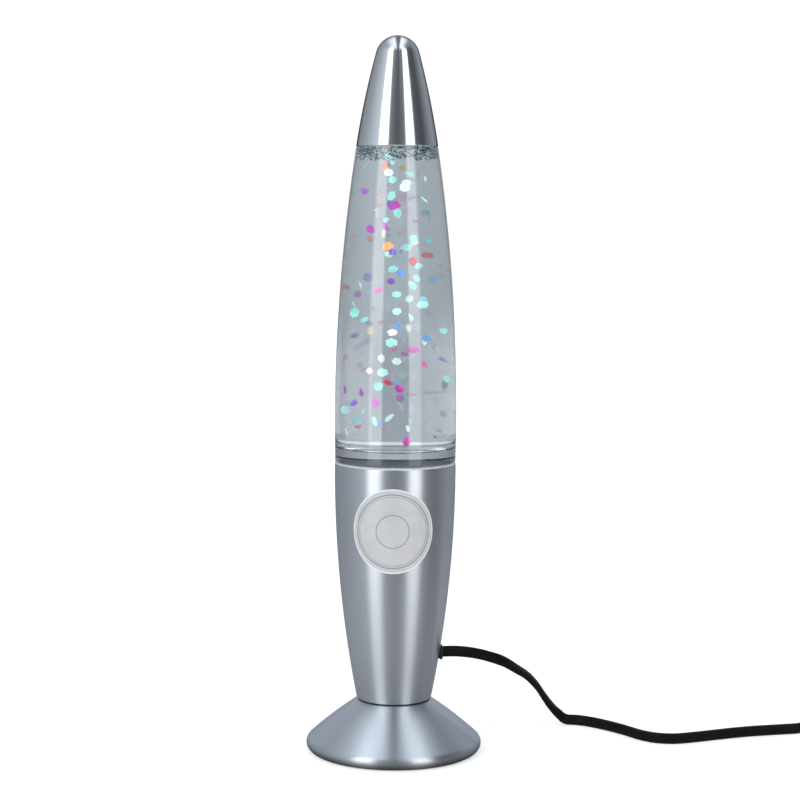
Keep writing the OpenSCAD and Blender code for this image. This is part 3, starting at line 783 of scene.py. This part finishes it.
thread_pitch, thread_depth = 2.8, 0.42
thread = [(6.0, 55.5), (6.45, 55.5)]
for k in range(34):
    z = 56 + 0.4 * k
    thread.append((6.5 + thread_depth * math.cos(math.tau * (z - 57.5) / thread_pitch), z))
bulb_cap = turned("bulb_screw_cap", thread + [
    (6.6, 70), (8.5, 73), (8.6, 77), (8.1, 77), (8.0, 73), (6.0, 69.6)], 96)
bulb_cap.data.materials.append(
    skinned("bright_cap_metal", (0.80, 0.80, 0.78), 500, 0.3, 0.22, 0.15, 0.15, metal=1.0))
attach(bulb_cap, "bulb")
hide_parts("bulb_shell")
give(skinned("vitrified_black", (0.012, 0.012, 0.016), 200, 0.3, 0.12, 0.06, 0.05),
     "black_glass", "bulb_insulator")
give(skinned("dull_solder", (0.55, 0.55, 0.54), 900, 0.4, 0.45, 0.2, 0.4, metal=1.0),
     "solder", "bulb_tip")
give(clear_material("stem_glass", (0.93, 0.95, 0.94), 0.03, 1.5), "stem_glass", "bulb_stem")
give(skinned("drawn_tungsten", (0.30, 0.29, 0.28), 3000, 0.4, 0.35, 0.2, 0.2, metal=1.0),
     "tungsten", "bulb_filament")


# ---- Bottle ----
# Thick pressed glass: a straight-sided spigot drops into the shell, the long
# curved side narrows upward, and the neck and its closure hide in the cap.

bottle_curve = 870.0
bottle_waist = 159.5
glass_wall = 2.8
glass_floor = 146.5
cap_seat = 288.5


def bottle_radius(z, inset=0.0):
    """Outer radius of the glass at a height, less an inset. At its waist it just covers the shell."""
    widest = shell_waist + 0.08
    return widest - bottle_curve + math.sqrt((bottle_curve - inset) ** 2 - (z - bottle_waist) ** 2)


def floor_corner(inset, low, easing):
    """Inner floor and its rounded corner, from the middle outwards, up to the straight side."""
    edge = bottle_radius(low, inset)
    return eased([
        (0, low + 0.5, 0), (edge - 7, low + 0.12, 0), (edge, low, easing), (edge, low + 9, 0)], 8)[:-1]


spigot_radius = shell_waist - 2.3
spigot_foot = 130.5
hollow_edge, hollow_curve = 17.1, 60
outside = (
    arc((0, spigot_foot + 2.5 - hollow_curve), hollow_curve, 90,
        math.degrees(math.acos(hollow_edge / hollow_curve)), 12)
    + eased([(hollow_edge, spigot_foot, 0), (spigot_radius, spigot_foot, 1.2), (spigot_radius, shoulder, 0.5),
             (bottle_radius(shoulder), shoulder, 0.6), (bottle_radius(145), 145, 0)], 6)[1:-1]
    + stretch(bottle_radius, 142, 287.6, 110)
    + eased([(bottle_radius(286), 286, 0), (bottle_radius(cap_seat), cap_seat, 0.5),
             (bottle_radius(cap_seat, 1.6), cap_seat, 0.2), (15.9, 298, 0.8), (9.5, 303, 0.8),
             (9.5, 314, 0.5), (6.8, 314, 0.5), (6.8, 300.5, 1.2), (14.9, 293.5, 1.2),
             (bottle_radius(289, glass_wall), 289, 0)],
            4)[1:-1]
)
floor_easing = 2.4
side_low = 150
inside = (stretch(lambda z: bottle_radius(z, glass_wall), 290, side_low, 80)
          + floor_corner(glass_wall, glass_floor, floor_easing)[::-1])
bottle = turned("bottle_glass", outside + inside, 224)
bottle.data.materials.append(clear_material("clear_bottle_glass", (0.985, 0.995, 0.995), 0.0, 1.55))
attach(bottle, "bottle")
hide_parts("bottle")


# ---- Liquid ----
# A clear, faintly blue filling up to the cap's edge. It wets the glass, so
# its skin lies a hair inside the wall of the bottle.

fill_level = 288.4
soak = 0.04
liquid = turned("liquid_fill", (
    floor_corner(glass_wall - soak, glass_floor - soak, floor_easing)
    + stretch(lambda z: bottle_radius(z, glass_wall - soak), side_low, fill_level, 80)
    + [(bottle_radius(fill_level, glass_wall) - 0.8, fill_level - 0.5), (0, fill_level - 0.6)]), 192)


def tinted_liquid():
    material = clear_material("tinted_liquid", (0.985, 0.995, 0.995), 0.0, 1.36)
    tree = material.node_tree
    soaked = node(tree, "ShaderNodeVolumeAbsorption", Color=(0.62, 0.76, 0.82, 1), Density=3.0)
    tree.links.new(soaked.outputs[0], tree.nodes["Material Output"].inputs["Volume"])
    return material


liquid.data.materials.append(tinted_liquid())
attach(liquid, "bottle")
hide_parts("liquid")


# ---- Bubbles ----
# A collar of fine bubbles that clings to the glass where the liquid ends,
# left there when the lamp was last shaken.

def ball(made, centre, radius, rings=5, sides=8):
    """Add a small ball to a list of points and faces, in millimetres."""
    points, faces = made
    start = len(points)
    x, y, z = (value / 1000 for value in centre)
    reach = radius / 1000
    for i in range(1, rings):
        tilt = math.pi * i / rings
        for k in range(sides):
            turn = math.tau * k / sides
            points.append((x + reach * math.sin(tilt) * math.cos(turn),
                           y + reach * math.sin(tilt) * math.sin(turn), z + reach * math.cos(tilt)))
    top, bottom = len(points), len(points) + 1
    points += [(x, y, z + reach), (x, y, z - reach)]
    for k in range(sides):
        j = (k + 1) % sides
        faces.append((top, start + k, start + j))
        faces.append((bottom, start + (rings - 2) * sides + j, start + (rings - 2) * sides + k))
        for i in range(rings - 2):
            faces.append((start + i * sides + k, start + (i + 1) * sides + k, start + (i + 1) * sides + j,
                          start + i * sides + j))


shaken = random.Random(11)
froth_mesh = ([], [])
for _ in range(1250):
    height = fill_level - 0.3 - 6.4 * shaken.random() ** 1.25
    size = 0.16 + 0.36 * shaken.random() ** 2
    turn = math.tau * shaken.random()
    out = bottle_radius(height, glass_wall) - size - 0.15 - 0.8 * shaken.random()
    ball(froth_mesh, (out * math.cos(turn), out * math.sin(turn), height), size)
froth = mesh_piece("bubble_collar", *froth_mesh, smooth_below=80)
froth.data.materials.append(skinned("bubble_skin", (0.50, 0.78, 0.84), 700, 0.75, 0.12, 0.08, 0.1,
                                    Transmission_Weight=0.4))
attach(froth, "bottle")


# ---- Glitter ----
# Hexagonal flakes of iridescent film, 3 to 5 mm across, hanging in the liquid.
# Each shows its own colour by how it leans, and many have curled or torn. Each also glows faintly in that
# colour: painted light.

def make_film_colour():
    """Film colour from each flake's own number and how squarely it is seen."""
    group, given, result = new_group("film_colour", [("Flake", "value"), ("Turned away", "value")],
                                     [("Colour", "colour"), ("Roughness", "value")])
    number = maths(group, "FRACT", maths(group, "MULTIPLY_ADD", given["Turned away"], 0.16, given["Flake"]))
    colour = ramp(group, number, [
        (0.00, (0.55, 1.00, 0.92)), (0.16, (0.40, 0.95, 0.90)), (0.24, (0.85, 1.00, 0.98)),
        (0.36, (0.98, 1.00, 0.98)), (0.44, (0.70, 0.95, 0.75)), (0.50, (0.95, 0.90, 0.35)),
        (0.56, (0.90, 0.45, 0.15)), (0.62, (0.80, 0.10, 0.18)), (0.68, (0.80, 0.12, 0.55)),
        (0.76, (0.60, 0.10, 0.65)), (0.82, (0.35, 0.16, 0.75)), (0.88, (0.18, 0.30, 0.85)),
        (0.94, (0.30, 0.70, 0.95)), (1.00, (0.55, 1.00, 0.92))])
    at = node(group, "ShaderNodeTexCoord").outputs["Object"]
    crease = noise(group, at, 700.0, 3.0)
    tone = maths(group, "MULTIPLY_ADD", crease, 0.5, 0.75)
    rough = maths(group, "MULTIPLY_ADD", crease, 0.2, 0.12)
    give_out(group, result, Colour=scaled(group, colour, tone), Roughness=rough)
    return group


film_colour = make_film_colour()


def flake_material(name, painted_glow, see_through):
    material, tree, shader = fresh_material(name)
    own = node(tree, "ShaderNodeAttribute", {"attribute_name": "flake"}).outputs["Fac"]
    facing = node(tree, "ShaderNodeLayerWeight", Blend=0.3).outputs["Facing"]
    film = node(tree, "ShaderNodeGroup", {"node_tree": film_colour}, Flake=own, Turned_away=facing).outputs
    tree.links.new(film["Colour"], shader.inputs["Base Color"])
    tree.links.new(film["Roughness"], shader.inputs["Roughness"])
    # The film glows in its own colour: painted light, standing in for the light that reaches the flakes
    # through the glass.
    tree.links.new(film["Colour"], shader.inputs["Emission Color"])
    tune(shader, Emission_Strength=painted_glow, Metallic=0.3, Alpha=see_through)
    return material


def strew_flakes(name, count, seed, size, spread, lean, sway, colours):
    """Scatter thin flakes through the liquid, each with its number in the attribute flake."""
    draw = random.Random(seed)
    points, faces, numbers = [], [], []
    for k in range(count):
        height = glass_floor + 4 + (fill_level - glass_floor - 9) * (k + draw.random()) / count
        reach = spread * bottle_radius(height, glass_wall + 3) * draw.random() ** 0.62
        turn = math.tau * draw.random()
        middle = Vector((reach * math.cos(turn), reach * math.sin(turn), height))
        across = size * (0.8 + 0.4 * draw.random())
        # Most flakes drift with a face outwards, a quarter turn or less from it.
        face = turn + math.pi / 2 + sway * (2 * draw.random() - 1)
        tipped = math.radians(lean[0] + (lean[1] - lean[0]) * draw.random())
        spun = math.tau * draw.random()
        tip = Matrix.Rotation(face, 3, "Z") @ Matrix.Rotation(tipped, 3, "X") @ Matrix.Rotation(spun, 3, "Z")
        curl = 0.04 + 0.22 * draw.random() ** 2
        torn = draw.random() < 0.3
        start = len(points)
        thick = 0.05
        rim = []
        for j in range(12):
            angle = math.tau * j / 12
            edge = across * (1.0 if j % 2 == 0 else 0.866)
            if torn:
                edge *= 0.65 + 0.35 * draw.random()
            rim.append((edge * math.cos(angle), edge * math.sin(angle)))
        for side in (-1, 1):
            for shrink in (1.0, 0.5):
                for x, y in rim:
                    x, y = x * shrink, y * shrink
                    points.append(middle + tip @ Vector((x, y, curl * x * x / across + side * thick / 2)))
            points.append(middle + tip @ Vector((0, 0, side * thick / 2)))
        number = colours(draw.random())
        low, high = start, start + 25
        for j in range(12):
            n = (j + 1) % 12
            wedge = [(low + n, low + j, low + 12 + j, low + 12 + n), (low + 12 + n, low + 12 + j, low + 24),
                     (high + j, high + n, high + 12 + n, high + 12 + j),
                     (high + 12 + j, high + 12 + n, high + 24), (low + j, low + n, high + n, high + j)]
            faces += wedge
            numbers += [number] * len(wedge)
    piece = mesh_piece(name, [tuple(p / 1000) for p in points], faces, smooth_below=40)
    own = piece.data.attributes.new("flake", "FLOAT", "FACE")
    own.data.foreach_set("value", numbers[:len(piece.data.polygons)])
    return piece



def mostly_pale(x):
    """More than half of the flakes take the pale first third of the film's colours."""
    return 0.34 * x / 0.55 if x < 0.55 else x


bright_flakes = strew_flakes("glitter_bright", 84, 5, 2.1, 0.86, (50, 105), 1.1, mostly_pale)
bright_flakes.data.materials.append(flake_material("bright_film", 0.6, 1.0))
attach(bright_flakes, "bottle")
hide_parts("glitter")

sheer_flakes = strew_flakes("glitter_sheer", 46, 23, 1.9, 0.95, (20, 80), 1.6, lambda x: 0.45 + 0.55 * x)
sheer_flakes.data.materials.append(flake_material("sheer_film", 0.3, 0.35))
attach(sheer_flakes, "bottle")


# ---- Closure ----
# A white screw closure on the bottle's neck with a seal disc inside it, and a
# white liner in the cap that centres the cap on it.

white_moulding = skinned("white_moulding", (0.82, 0.82, 0.80), 900, 0.12, 0.38, 0.15, 0.15)
closure_outline = eased([(9.6, 304.5, 0.2), (10.9, 304.5, 0.3), (10.9, 316.5, 0.8), (0, 316.5, 0),
                         (0, 315, 0), (9.6, 315, 0.2)])
closure = turned("closure_moulded", closure_outline, 96)
closure.data.materials.append(white_moulding)
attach(closure, "bottle")
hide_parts("bottle_closure")
give(white_moulding, "white_plastic", "closure_seal", "cap_liner")


# ---- Cap ----
# A long pointed cap of polished, turned aluminium with a rounded nose. It
# drops over the bottle's neck and stands on the edge of the glass.

cap_foot_radius = 19.3
cap_curve = 403.5
cap_waist = 227.45
nose = 10.5
cap_waist_radius = cap_foot_radius + cap_curve - math.sqrt(cap_curve ** 2 - (cap_seat - cap_waist) ** 2)
nose_middle = cap_waist + math.sqrt((cap_curve - nose) ** 2 - (cap_curve - cap_waist_radius) ** 2)
nose_reach = nose * (cap_curve - cap_waist_radius) / (cap_curve - nose)
nose_join = nose_middle + math.sqrt(nose ** 2 - nose_reach ** 2)
join_angle = math.degrees(math.asin((nose_join - nose_middle) / nose))


def cap_radius(z, inset=0.0):
    return cap_waist_radius - cap_curve + math.sqrt((cap_curve - inset) ** 2 - (z - cap_waist) ** 2)


cap_wall = 1.1
side_start, edge_end = 289.4, 295
inner_join = nose_middle + (nose - cap_wall) * math.sin(math.radians(join_angle))
cap_outline = (
    eased([(cap_radius(edge_end), edge_end, 0), (cap_foot_radius, cap_seat, 0.3),
           (cap_radius(cap_seat, cap_wall), cap_seat, 0.3),
           (cap_radius(edge_end, cap_wall), edge_end, 0)], 4)[1:-1][::-1]
    + stretch(cap_radius, side_start, nose_join, 110)
    + arc((0, nose_middle), nose, join_angle, 90, 40)[1:]
    + arc((0, nose_middle), nose - cap_wall, 90, join_angle, 24)
    + stretch(lambda z: cap_radius(z, cap_wall), inner_join, side_start, 60)[1:]
)
cap = turned("cap_turned", cap_outline, 256)
cap.data.materials.append(
    turned_metal("polished_turned_metal", (0.86, 0.87, 0.885), 7.0, 0.06, 0.17, 0.04, 0.05, 0.8, 0.05))
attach(cap, "cap")
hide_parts("cap")


# ---- Flex ----
# Flat two-core flex in soft black PVC, 5.2 by 3.2 mm. It leaves the shell on
# edge, leans over as it drops to the table, and runs on edge to the switch.

flex_width = 5.2
flex_thick = 3.2
run_route = [
    (14, 2, 47), (21, 3, 47), (30, 5, 46.8), (39, 9, 45), (47, 14, 42), (54, 19, 38.5),
    (60, 24, 34), (66, 30, 29), (71, 35, 23), (75, 40, 16.5), (79, 43.5, 10.5), (83.5, 46, 5.5),
    (89, 46.5, 3.2), (95, 44.5, 2.6), (101, 40.5, 2.6), (108, 34, 2.6), (115, 26, 2.6),
    (121, 18, 2.6), (128, 12.5, 2.6), (137, 11, 2.6), (148, 14.5, 2.6), (161, 20, 2.6),
    (174, 25, 2.6), (187, 28.5, 2.6), (200, 31.5, 3.2), (208, 33.6, 5), (216, 34.5, 6.5),
]


def smooth_route(route, steps):
    """A soft curve through the route's points, with a few points on each stretch."""
    knots = [Vector(p) for p in route]
    line = []
    for i in range(len(knots) - 1):
        a, b, c, d = knots[max(i - 1, 0)], knots[i], knots[i + 1], knots[min(i + 2, len(knots) - 1)]
        for k in range(steps):
            t = k / steps
            line.append(0.5 * (2 * b + (c - a) * t + (2 * a - 5 * b + 4 * c - d) * t * t
                               + (3 * b - a - 3 * c + d) * t ** 3))
    return line + [knots[-1]]


def flex_section(sides=20):
    """The flex seen end on: two round cores side by side with a shallow groove between."""
    half, thick = flex_width / 2, flex_thick / 2
    section = []
    for k in range(sides):
        turn = math.tau * k / sides
        across, up = math.cos(turn), math.sin(turn)
        side = math.copysign(abs(across) ** 0.75, across) * half
        groove = 1 - 0.10 * math.exp(-(side / 0.7) ** 2)
        section.append((side, math.copysign(abs(up) ** 0.62, up) * thick * groove))
    return section


def ease_in_out(t):
    """From 0 to 1 with soft ends, and level outside them."""
    t = min(max(t, 0), 1)
    return t * t * (3 - 2 * t)


def tube_faces(rows, count):
    """Sides between rows of count points each, and a lid on either end."""
    faces = []
    for i in range(rows - 1):
        here, there = i * count, (i + 1) * count
        for k in range(count):
            j = (k + 1) % count
            faces.append((here + k, here + j, there + j, there + k))
    last = (rows - 1) * count
    return faces + [tuple(range(count))[::-1], tuple(range(last, last + count))]


def flex_piece(name, line, twist, settle):
    """Sweep the flex along a line. twist gives its wide side's angle above level at a spot, and settle
    lets it lie down on the table."""
    section = flex_section()
    points = []
    side_before = None
    for i, spot in enumerate(line):
        ahead = (line[min(i + 1, len(line) - 1)] - line[max(i - 1, 0)]).normalized()
        side = ahead.cross(Vector((0, 0, 1)))
        side = side.normalized() if side.length > 0.05 else side_before
        side_before = side
        up = side.cross(ahead).normalized()
        lean_by = math.radians(twist(spot))
        wide = side * math.cos(lean_by) + up * math.sin(lean_by)
        thin = up * math.cos(lean_by) - side * math.sin(lean_by)
        hoop = [spot + wide * x + thin * y for x, y in section]
        if settle:
            gap = min(p.z for p in hoop) - 0.05
            near = ease_in_out(1 - (spot.z - 2.7) / 3.0)
            hoop = [p - Vector((0, 0, gap * near)) for p in hoop]
        points += [tuple(p / 1000) for p in hoop]
    return mesh_piece(name, points, tube_faces(len(line), len(section)), smooth_below=50)


soft_pvc = skinned("soft_black_pvc", (0.004, 0.004, 0.0045), 1200, 0.4, 0.5, 0.12, 0.12,
                   Specular_IOR_Level=0.15)


def run_twist(spot):
    """On edge from the bush, leaning over as it drops, and on edge again along the table."""
    return 86 + 50 * ease_in_out((spot.x - 36) / 30) - 54 * ease_in_out((spot.x - 80) / 28)


run_line = smooth_route(run_route, 4)
flex_run = flex_piece("flex_run", run_line, run_twist, True)
flex_run.data.materials.append(soft_pvc)
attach(flex_run, "base")
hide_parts("cord_run")


# ---- Switch ----
# A flex switch in two moulded halves held by two screws, with a rocker on top
# that moves a brass contact arm inside.

switch_middle = (242.0, 34.5)
switch_long, switch_wide, switch_corner = 56, 22, 6
spark_plastic = skinned("spark_textured_plastic", (0.016, 0.016, 0.017), 2600, 0.5, 0.46, 0.15, 0.5)


def rounded_outline(length, width, corner, steps=8):
    """A rectangle with round corners, anticlockwise from its right side."""
    spots = []
    for quarter, (sx, sy) in enumerate([(1, 1), (-1, 1), (-1, -1), (1, -1)]):
        middle = (sx * (length / 2 - corner), sy * (width / 2 - corner))
        spots += arc(middle, corner, 90 * quarter, 90 * quarter + 90, steps)
    return spots


def stacked(name, layers, place, smooth_below=35):
    """Join closed outlines, each a list of as many 3-D points, into one solid."""
    points = [tuple((place @ Vector(p)) / 1000) for layer in layers for p in layer]
    return mesh_piece(name, points, tube_faces(len(layers), len(layers[0])), smooth_below)


def switch_half(name, levels):
    """One half of the case, from its inset at each height."""
    layers = []
    for inset, z in levels:
        outline = rounded_outline(switch_long - 2 * inset, switch_wide - 2 * inset,
                                  max(switch_corner - inset, 2))
        layers.append([(x, y, z) for x, y in outline])
    return stacked(name, layers, Matrix.Translation((*switch_middle, 0)))


def rocker_well():
    """A cutter for the well that the rocker sits in."""
    outline = rounded_outline(19.8, 9.6, 0.6, 6)
    return stacked("well", [[(x, y, z) for x, y in outline] for z in (1.6, 20)],
                   Matrix.Translation((*switch_middle, 0)))


case_bottom = switch_half("switch_case_lower", [(1.4, 0), (0.5, 0.3), (0, 1.2), (0, 6.25), (0.3, 6.5)])
case_top = switch_half("switch_case_upper", [
    (0.3, 6.5), (0, 6.75), (0, 10.5), (0.25, 12.0), (0.9, 13.2), (2.0, 13.85), (3.2, 14.0)])
for half, node_name in ((case_bottom, "switch_lower"), (case_top, "switch_upper")):
    cut_away(half, rocker_well())
    half.data.materials.clear()
    half.data.materials.append(spark_plastic)
    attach(half, "base")
    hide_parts(node_name)


def rocker_mesh():
    """The rocker's side outline, dished on top, drawn out to its width with eased edges."""
    half, underside, pivot_height, rest_tilt = 9.5, -1.2, 10.4, -8
    swell, dish = 20, 22.6
    top = []
    for k in range(25):
        x = half - 2 * half * k / 24
        top.append((x, min(math.sqrt(swell ** 2 - x * x) - 14.6, 27 - math.sqrt(dish ** 2 - x * x))))
    outline = [(-half, underside), (half, underside)] + top
    tilt = Matrix.Translation((*switch_middle, pivot_height)) @ Matrix.Rotation(
        math.radians(rest_tilt), 4, "Y")
    layers = [[(x * ease, y, z * ease) for x, z in outline] for y, ease in
              [(-4.5, 0.95), (-4.38, 0.985), (-4.1, 1.0), (4.1, 1.0), (4.38, 0.985), (4.5, 0.95)]]
    return stacked("rocker_moulded", layers, tilt, smooth_below=50)


rocker = rocker_mesh()
rocker.data.materials.append(
    skinned("gloss_rocker", (0.014, 0.014, 0.015), 300, 0.3, 0.16, 0.08, 0.06, coat=0.3))
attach(rocker, "rocker")
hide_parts("rocker")


# ---- Wound flex ----
# The spare flex beyond the switch, wound in two layers into a round coil and
# held by a woven strap. Its end runs into the plug.

coil_middle = (283.0, -22.0)
coil_outer = 35.0
coil_turns = 6 + 1 / 3
coil_start = 30.0
first_layer = 1.7
next_layer = 3.4
link_route = [
    (269, 34.5, 6.5), (276, 34.3, 6), (284, 32.5, 4.6), (291.5, 28, 3.2), (298, 21, 2.6),
    (303.5, 13, 2.6), (308.6, 4, 2.6), (313.3, -4.5, 2.6),
]
tail_line = coil_middle[1] - coil_outer
tail_route = [
    (284, tail_line, first_layer + next_layer), (278, tail_line, 5.3), (271, tail_line, 5.9),
    (264, tail_line, 6.7), (257, tail_line, 7), (246, tail_line, 7), (236, tail_line, 7),
]


def coil_route(per_turn):
    """In along the lower layer to the middle, up, and out again along the upper layer."""
    steps = round(coil_turns * per_turn)
    half = coil_turns / 2
    route = []
    for k in range(1, steps):
        done = coil_turns * k / steps
        out = coil_outer - flex_width * min(done, coil_turns - done)
        climb = next_layer * ease_in_out((done - half + 0.25) / 0.5)
        sink = min(done / 0.12, 1)
        turn = math.radians(coil_start - 360 * done)
        route.append(Vector((
            coil_middle[0] + out * math.cos(turn), coil_middle[1] + out * math.sin(turn),
            first_layer + climb + 0.9 * (1 - sink))))
    return route


coil_line = smooth_route(link_route, 3)[:-1] + coil_route(40) + smooth_route(tail_route, 3)
flex_coil = flex_piece("flex_coil", coil_line, lambda spot: 0.0, False)
flex_coil.data.materials.append(soft_pvc)
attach(flex_coil, "base")
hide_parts("cord_link", "cord_coil", "cord_tail")

strap_middle = coil_middle[0] + coil_outer - flex_width * coil_turns / 4
strap_long = flex_width * coil_turns / 2 + flex_width + 2
strap_high = next_layer + 2 * first_layer + 1.4
strap_thick = 0.65
strap_half_width = 3


def strap_mesh():
    """A flat band bent round the bundle and closed on itself."""
    place = Matrix.Translation((strap_middle, coil_middle[1], strap_high / 2)) @ Matrix.Rotation(
        math.radians(90), 4, "X")
    outer = rounded_outline(strap_long, strap_high, 2.2, 6)
    inner = rounded_outline(strap_long - 2 * strap_thick, strap_high - 2 * strap_thick, 1.6, 6)
    count = len(outer)
    points = [tuple((place @ Vector((x, y, side))) / 1000) for side in (-strap_half_width, strap_half_width)
              for ring in (outer, inner) for x, y in ring]
    faces = []
    for k in range(count):
        j = (k + 1) % count
        faces += [(k, j, count + j, count + k), (2 * count + j, 2 * count + k, 3 * count + k, 3 * count + j),
                  (k, 2 * count + k, 2 * count + j, j), (count + j, 3 * count + j, 3 * count + k, count + k)]
    return mesh_piece("flex_strap", points, faces)


strap = strap_mesh()
strap.data.materials.append(fibre_cloth("woven_strap", (0.02, 0.02, 0.02), 1600, 0.8, 0.5))
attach(strap, "base")
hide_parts("coil_tie")


# ---- Plug ----
# A flat two-pin plug moulded on the end of the flex, with a ribbed, tapering
# relief behind it. The pins are nickel-plated brass, sleeved near the body.

plug_face = 208.0
plug_height = 7.0
plug_length = 34
pin_offset = 9.3
plug_rubber = skinned("moulded_plug_pvc", (0.013, 0.013, 0.014), 2000, 0.5, 0.42, 0.15, 0.35)


def plug_mesh():
    """Outlines across the plug, from the pin face back to the flex."""
    layers = []
    for x, wide, high, corner in [
        (0, 13.0, 5.6, 3.6), (0.5, 14.4, 6.5, 4.4), (1.8, 16.4, 6.9, 4.9), (3.5, 17.4, 7.0, 5.0),
        (6, 17.6, 7.0, 5.0), (9, 17.2, 7.0, 5.0), (12, 15.9, 7.0, 5.0), (16, 14.2, 6.9, 5.0),
        (20, 12.6, 6.7, 4.9), (24, 11.0, 6.6, 4.8), (28, 9.6, 6.5, 4.8), (31.5, 8.4, 6.4, 4.8),
        (33.3, 7.6, 5.9, 4.6), (plug_length, 6.6, 5.2, 4.2),
    ]:
        outline = rounded_outline(2 * wide, 2 * high, corner, 6)
        layers.append([(x, y, z) for y, z in outline])
    return stacked("plug_moulded", layers, Matrix.Translation((plug_face, tail_line, plug_height)), 45)


plug = plug_mesh()
plug.data.materials.append(plug_rubber)
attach(plug, "base")
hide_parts("plug_body")

relief_start = Vector((plug_face + plug_length, tail_line, plug_height)) / 1000
along_flex = Matrix.Translation(relief_start) @ Matrix.Rotation(math.radians(90), 4, "Y")
ribs = [(2.0, 0, 0), (4.9, 0, 0.3)]
for k in range(5):
    start, thick = 1.6 + 3.6 * k, 4.9 - 0.28 * k
    ribs += [(thick, start + 1.9, 0.25), (thick - 0.9, start + 2.1, 0.2), (thick - 0.95, start + 3.3, 0.2),
             (thick - 0.3, start + 3.5, 0.25)]
ribs += [(3.45, 20, 0.4), (2.0, 20, 0)]
relief = turned("plug_relief_ribbed", eased(ribs, 3), 64, along_flex)
relief.data.materials.append(plug_rubber)
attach(relief, "base")
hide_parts("plug_relief")

nickel = skinned("nickel_plate", (0.78, 0.77, 0.72), 400, 0.3, 0.18, 0.12, 0.12, metal=1.0)


def pin_parts(name, outline, material, replaced):
    """The same turned part on each of the two pins."""
    both = []
    for side in (-1, 1):
        root = Vector((plug_face, tail_line + side * pin_offset, plug_height)) / 1000
        place = Matrix.Translation(root) @ Matrix.Rotation(math.radians(-90), 4, "Y")
        both.append(turned(f"{name}_{side + 1}", outline, 40, place))
    for piece in both:
        piece.data.materials.append(material)
        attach(piece, "base")
    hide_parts(replaced)
    return both


pins = pin_parts("pin", eased([
    (0, 0, 0), (1.4, 0, 0), (1.4, 10, 0), (2.0, 10, 0.15), (2.0, 19, 0.9), (0, 19, 0)]),
    nickel, "plug_pins")
sleeves = pin_parts("pin_sleeve", eased([(1.42, 0, 0), (1.7, 0, 0), (1.7, 10, 0.1), (1.42, 10, 0)], 3),
                    plug_rubber, "pin_sleeves")
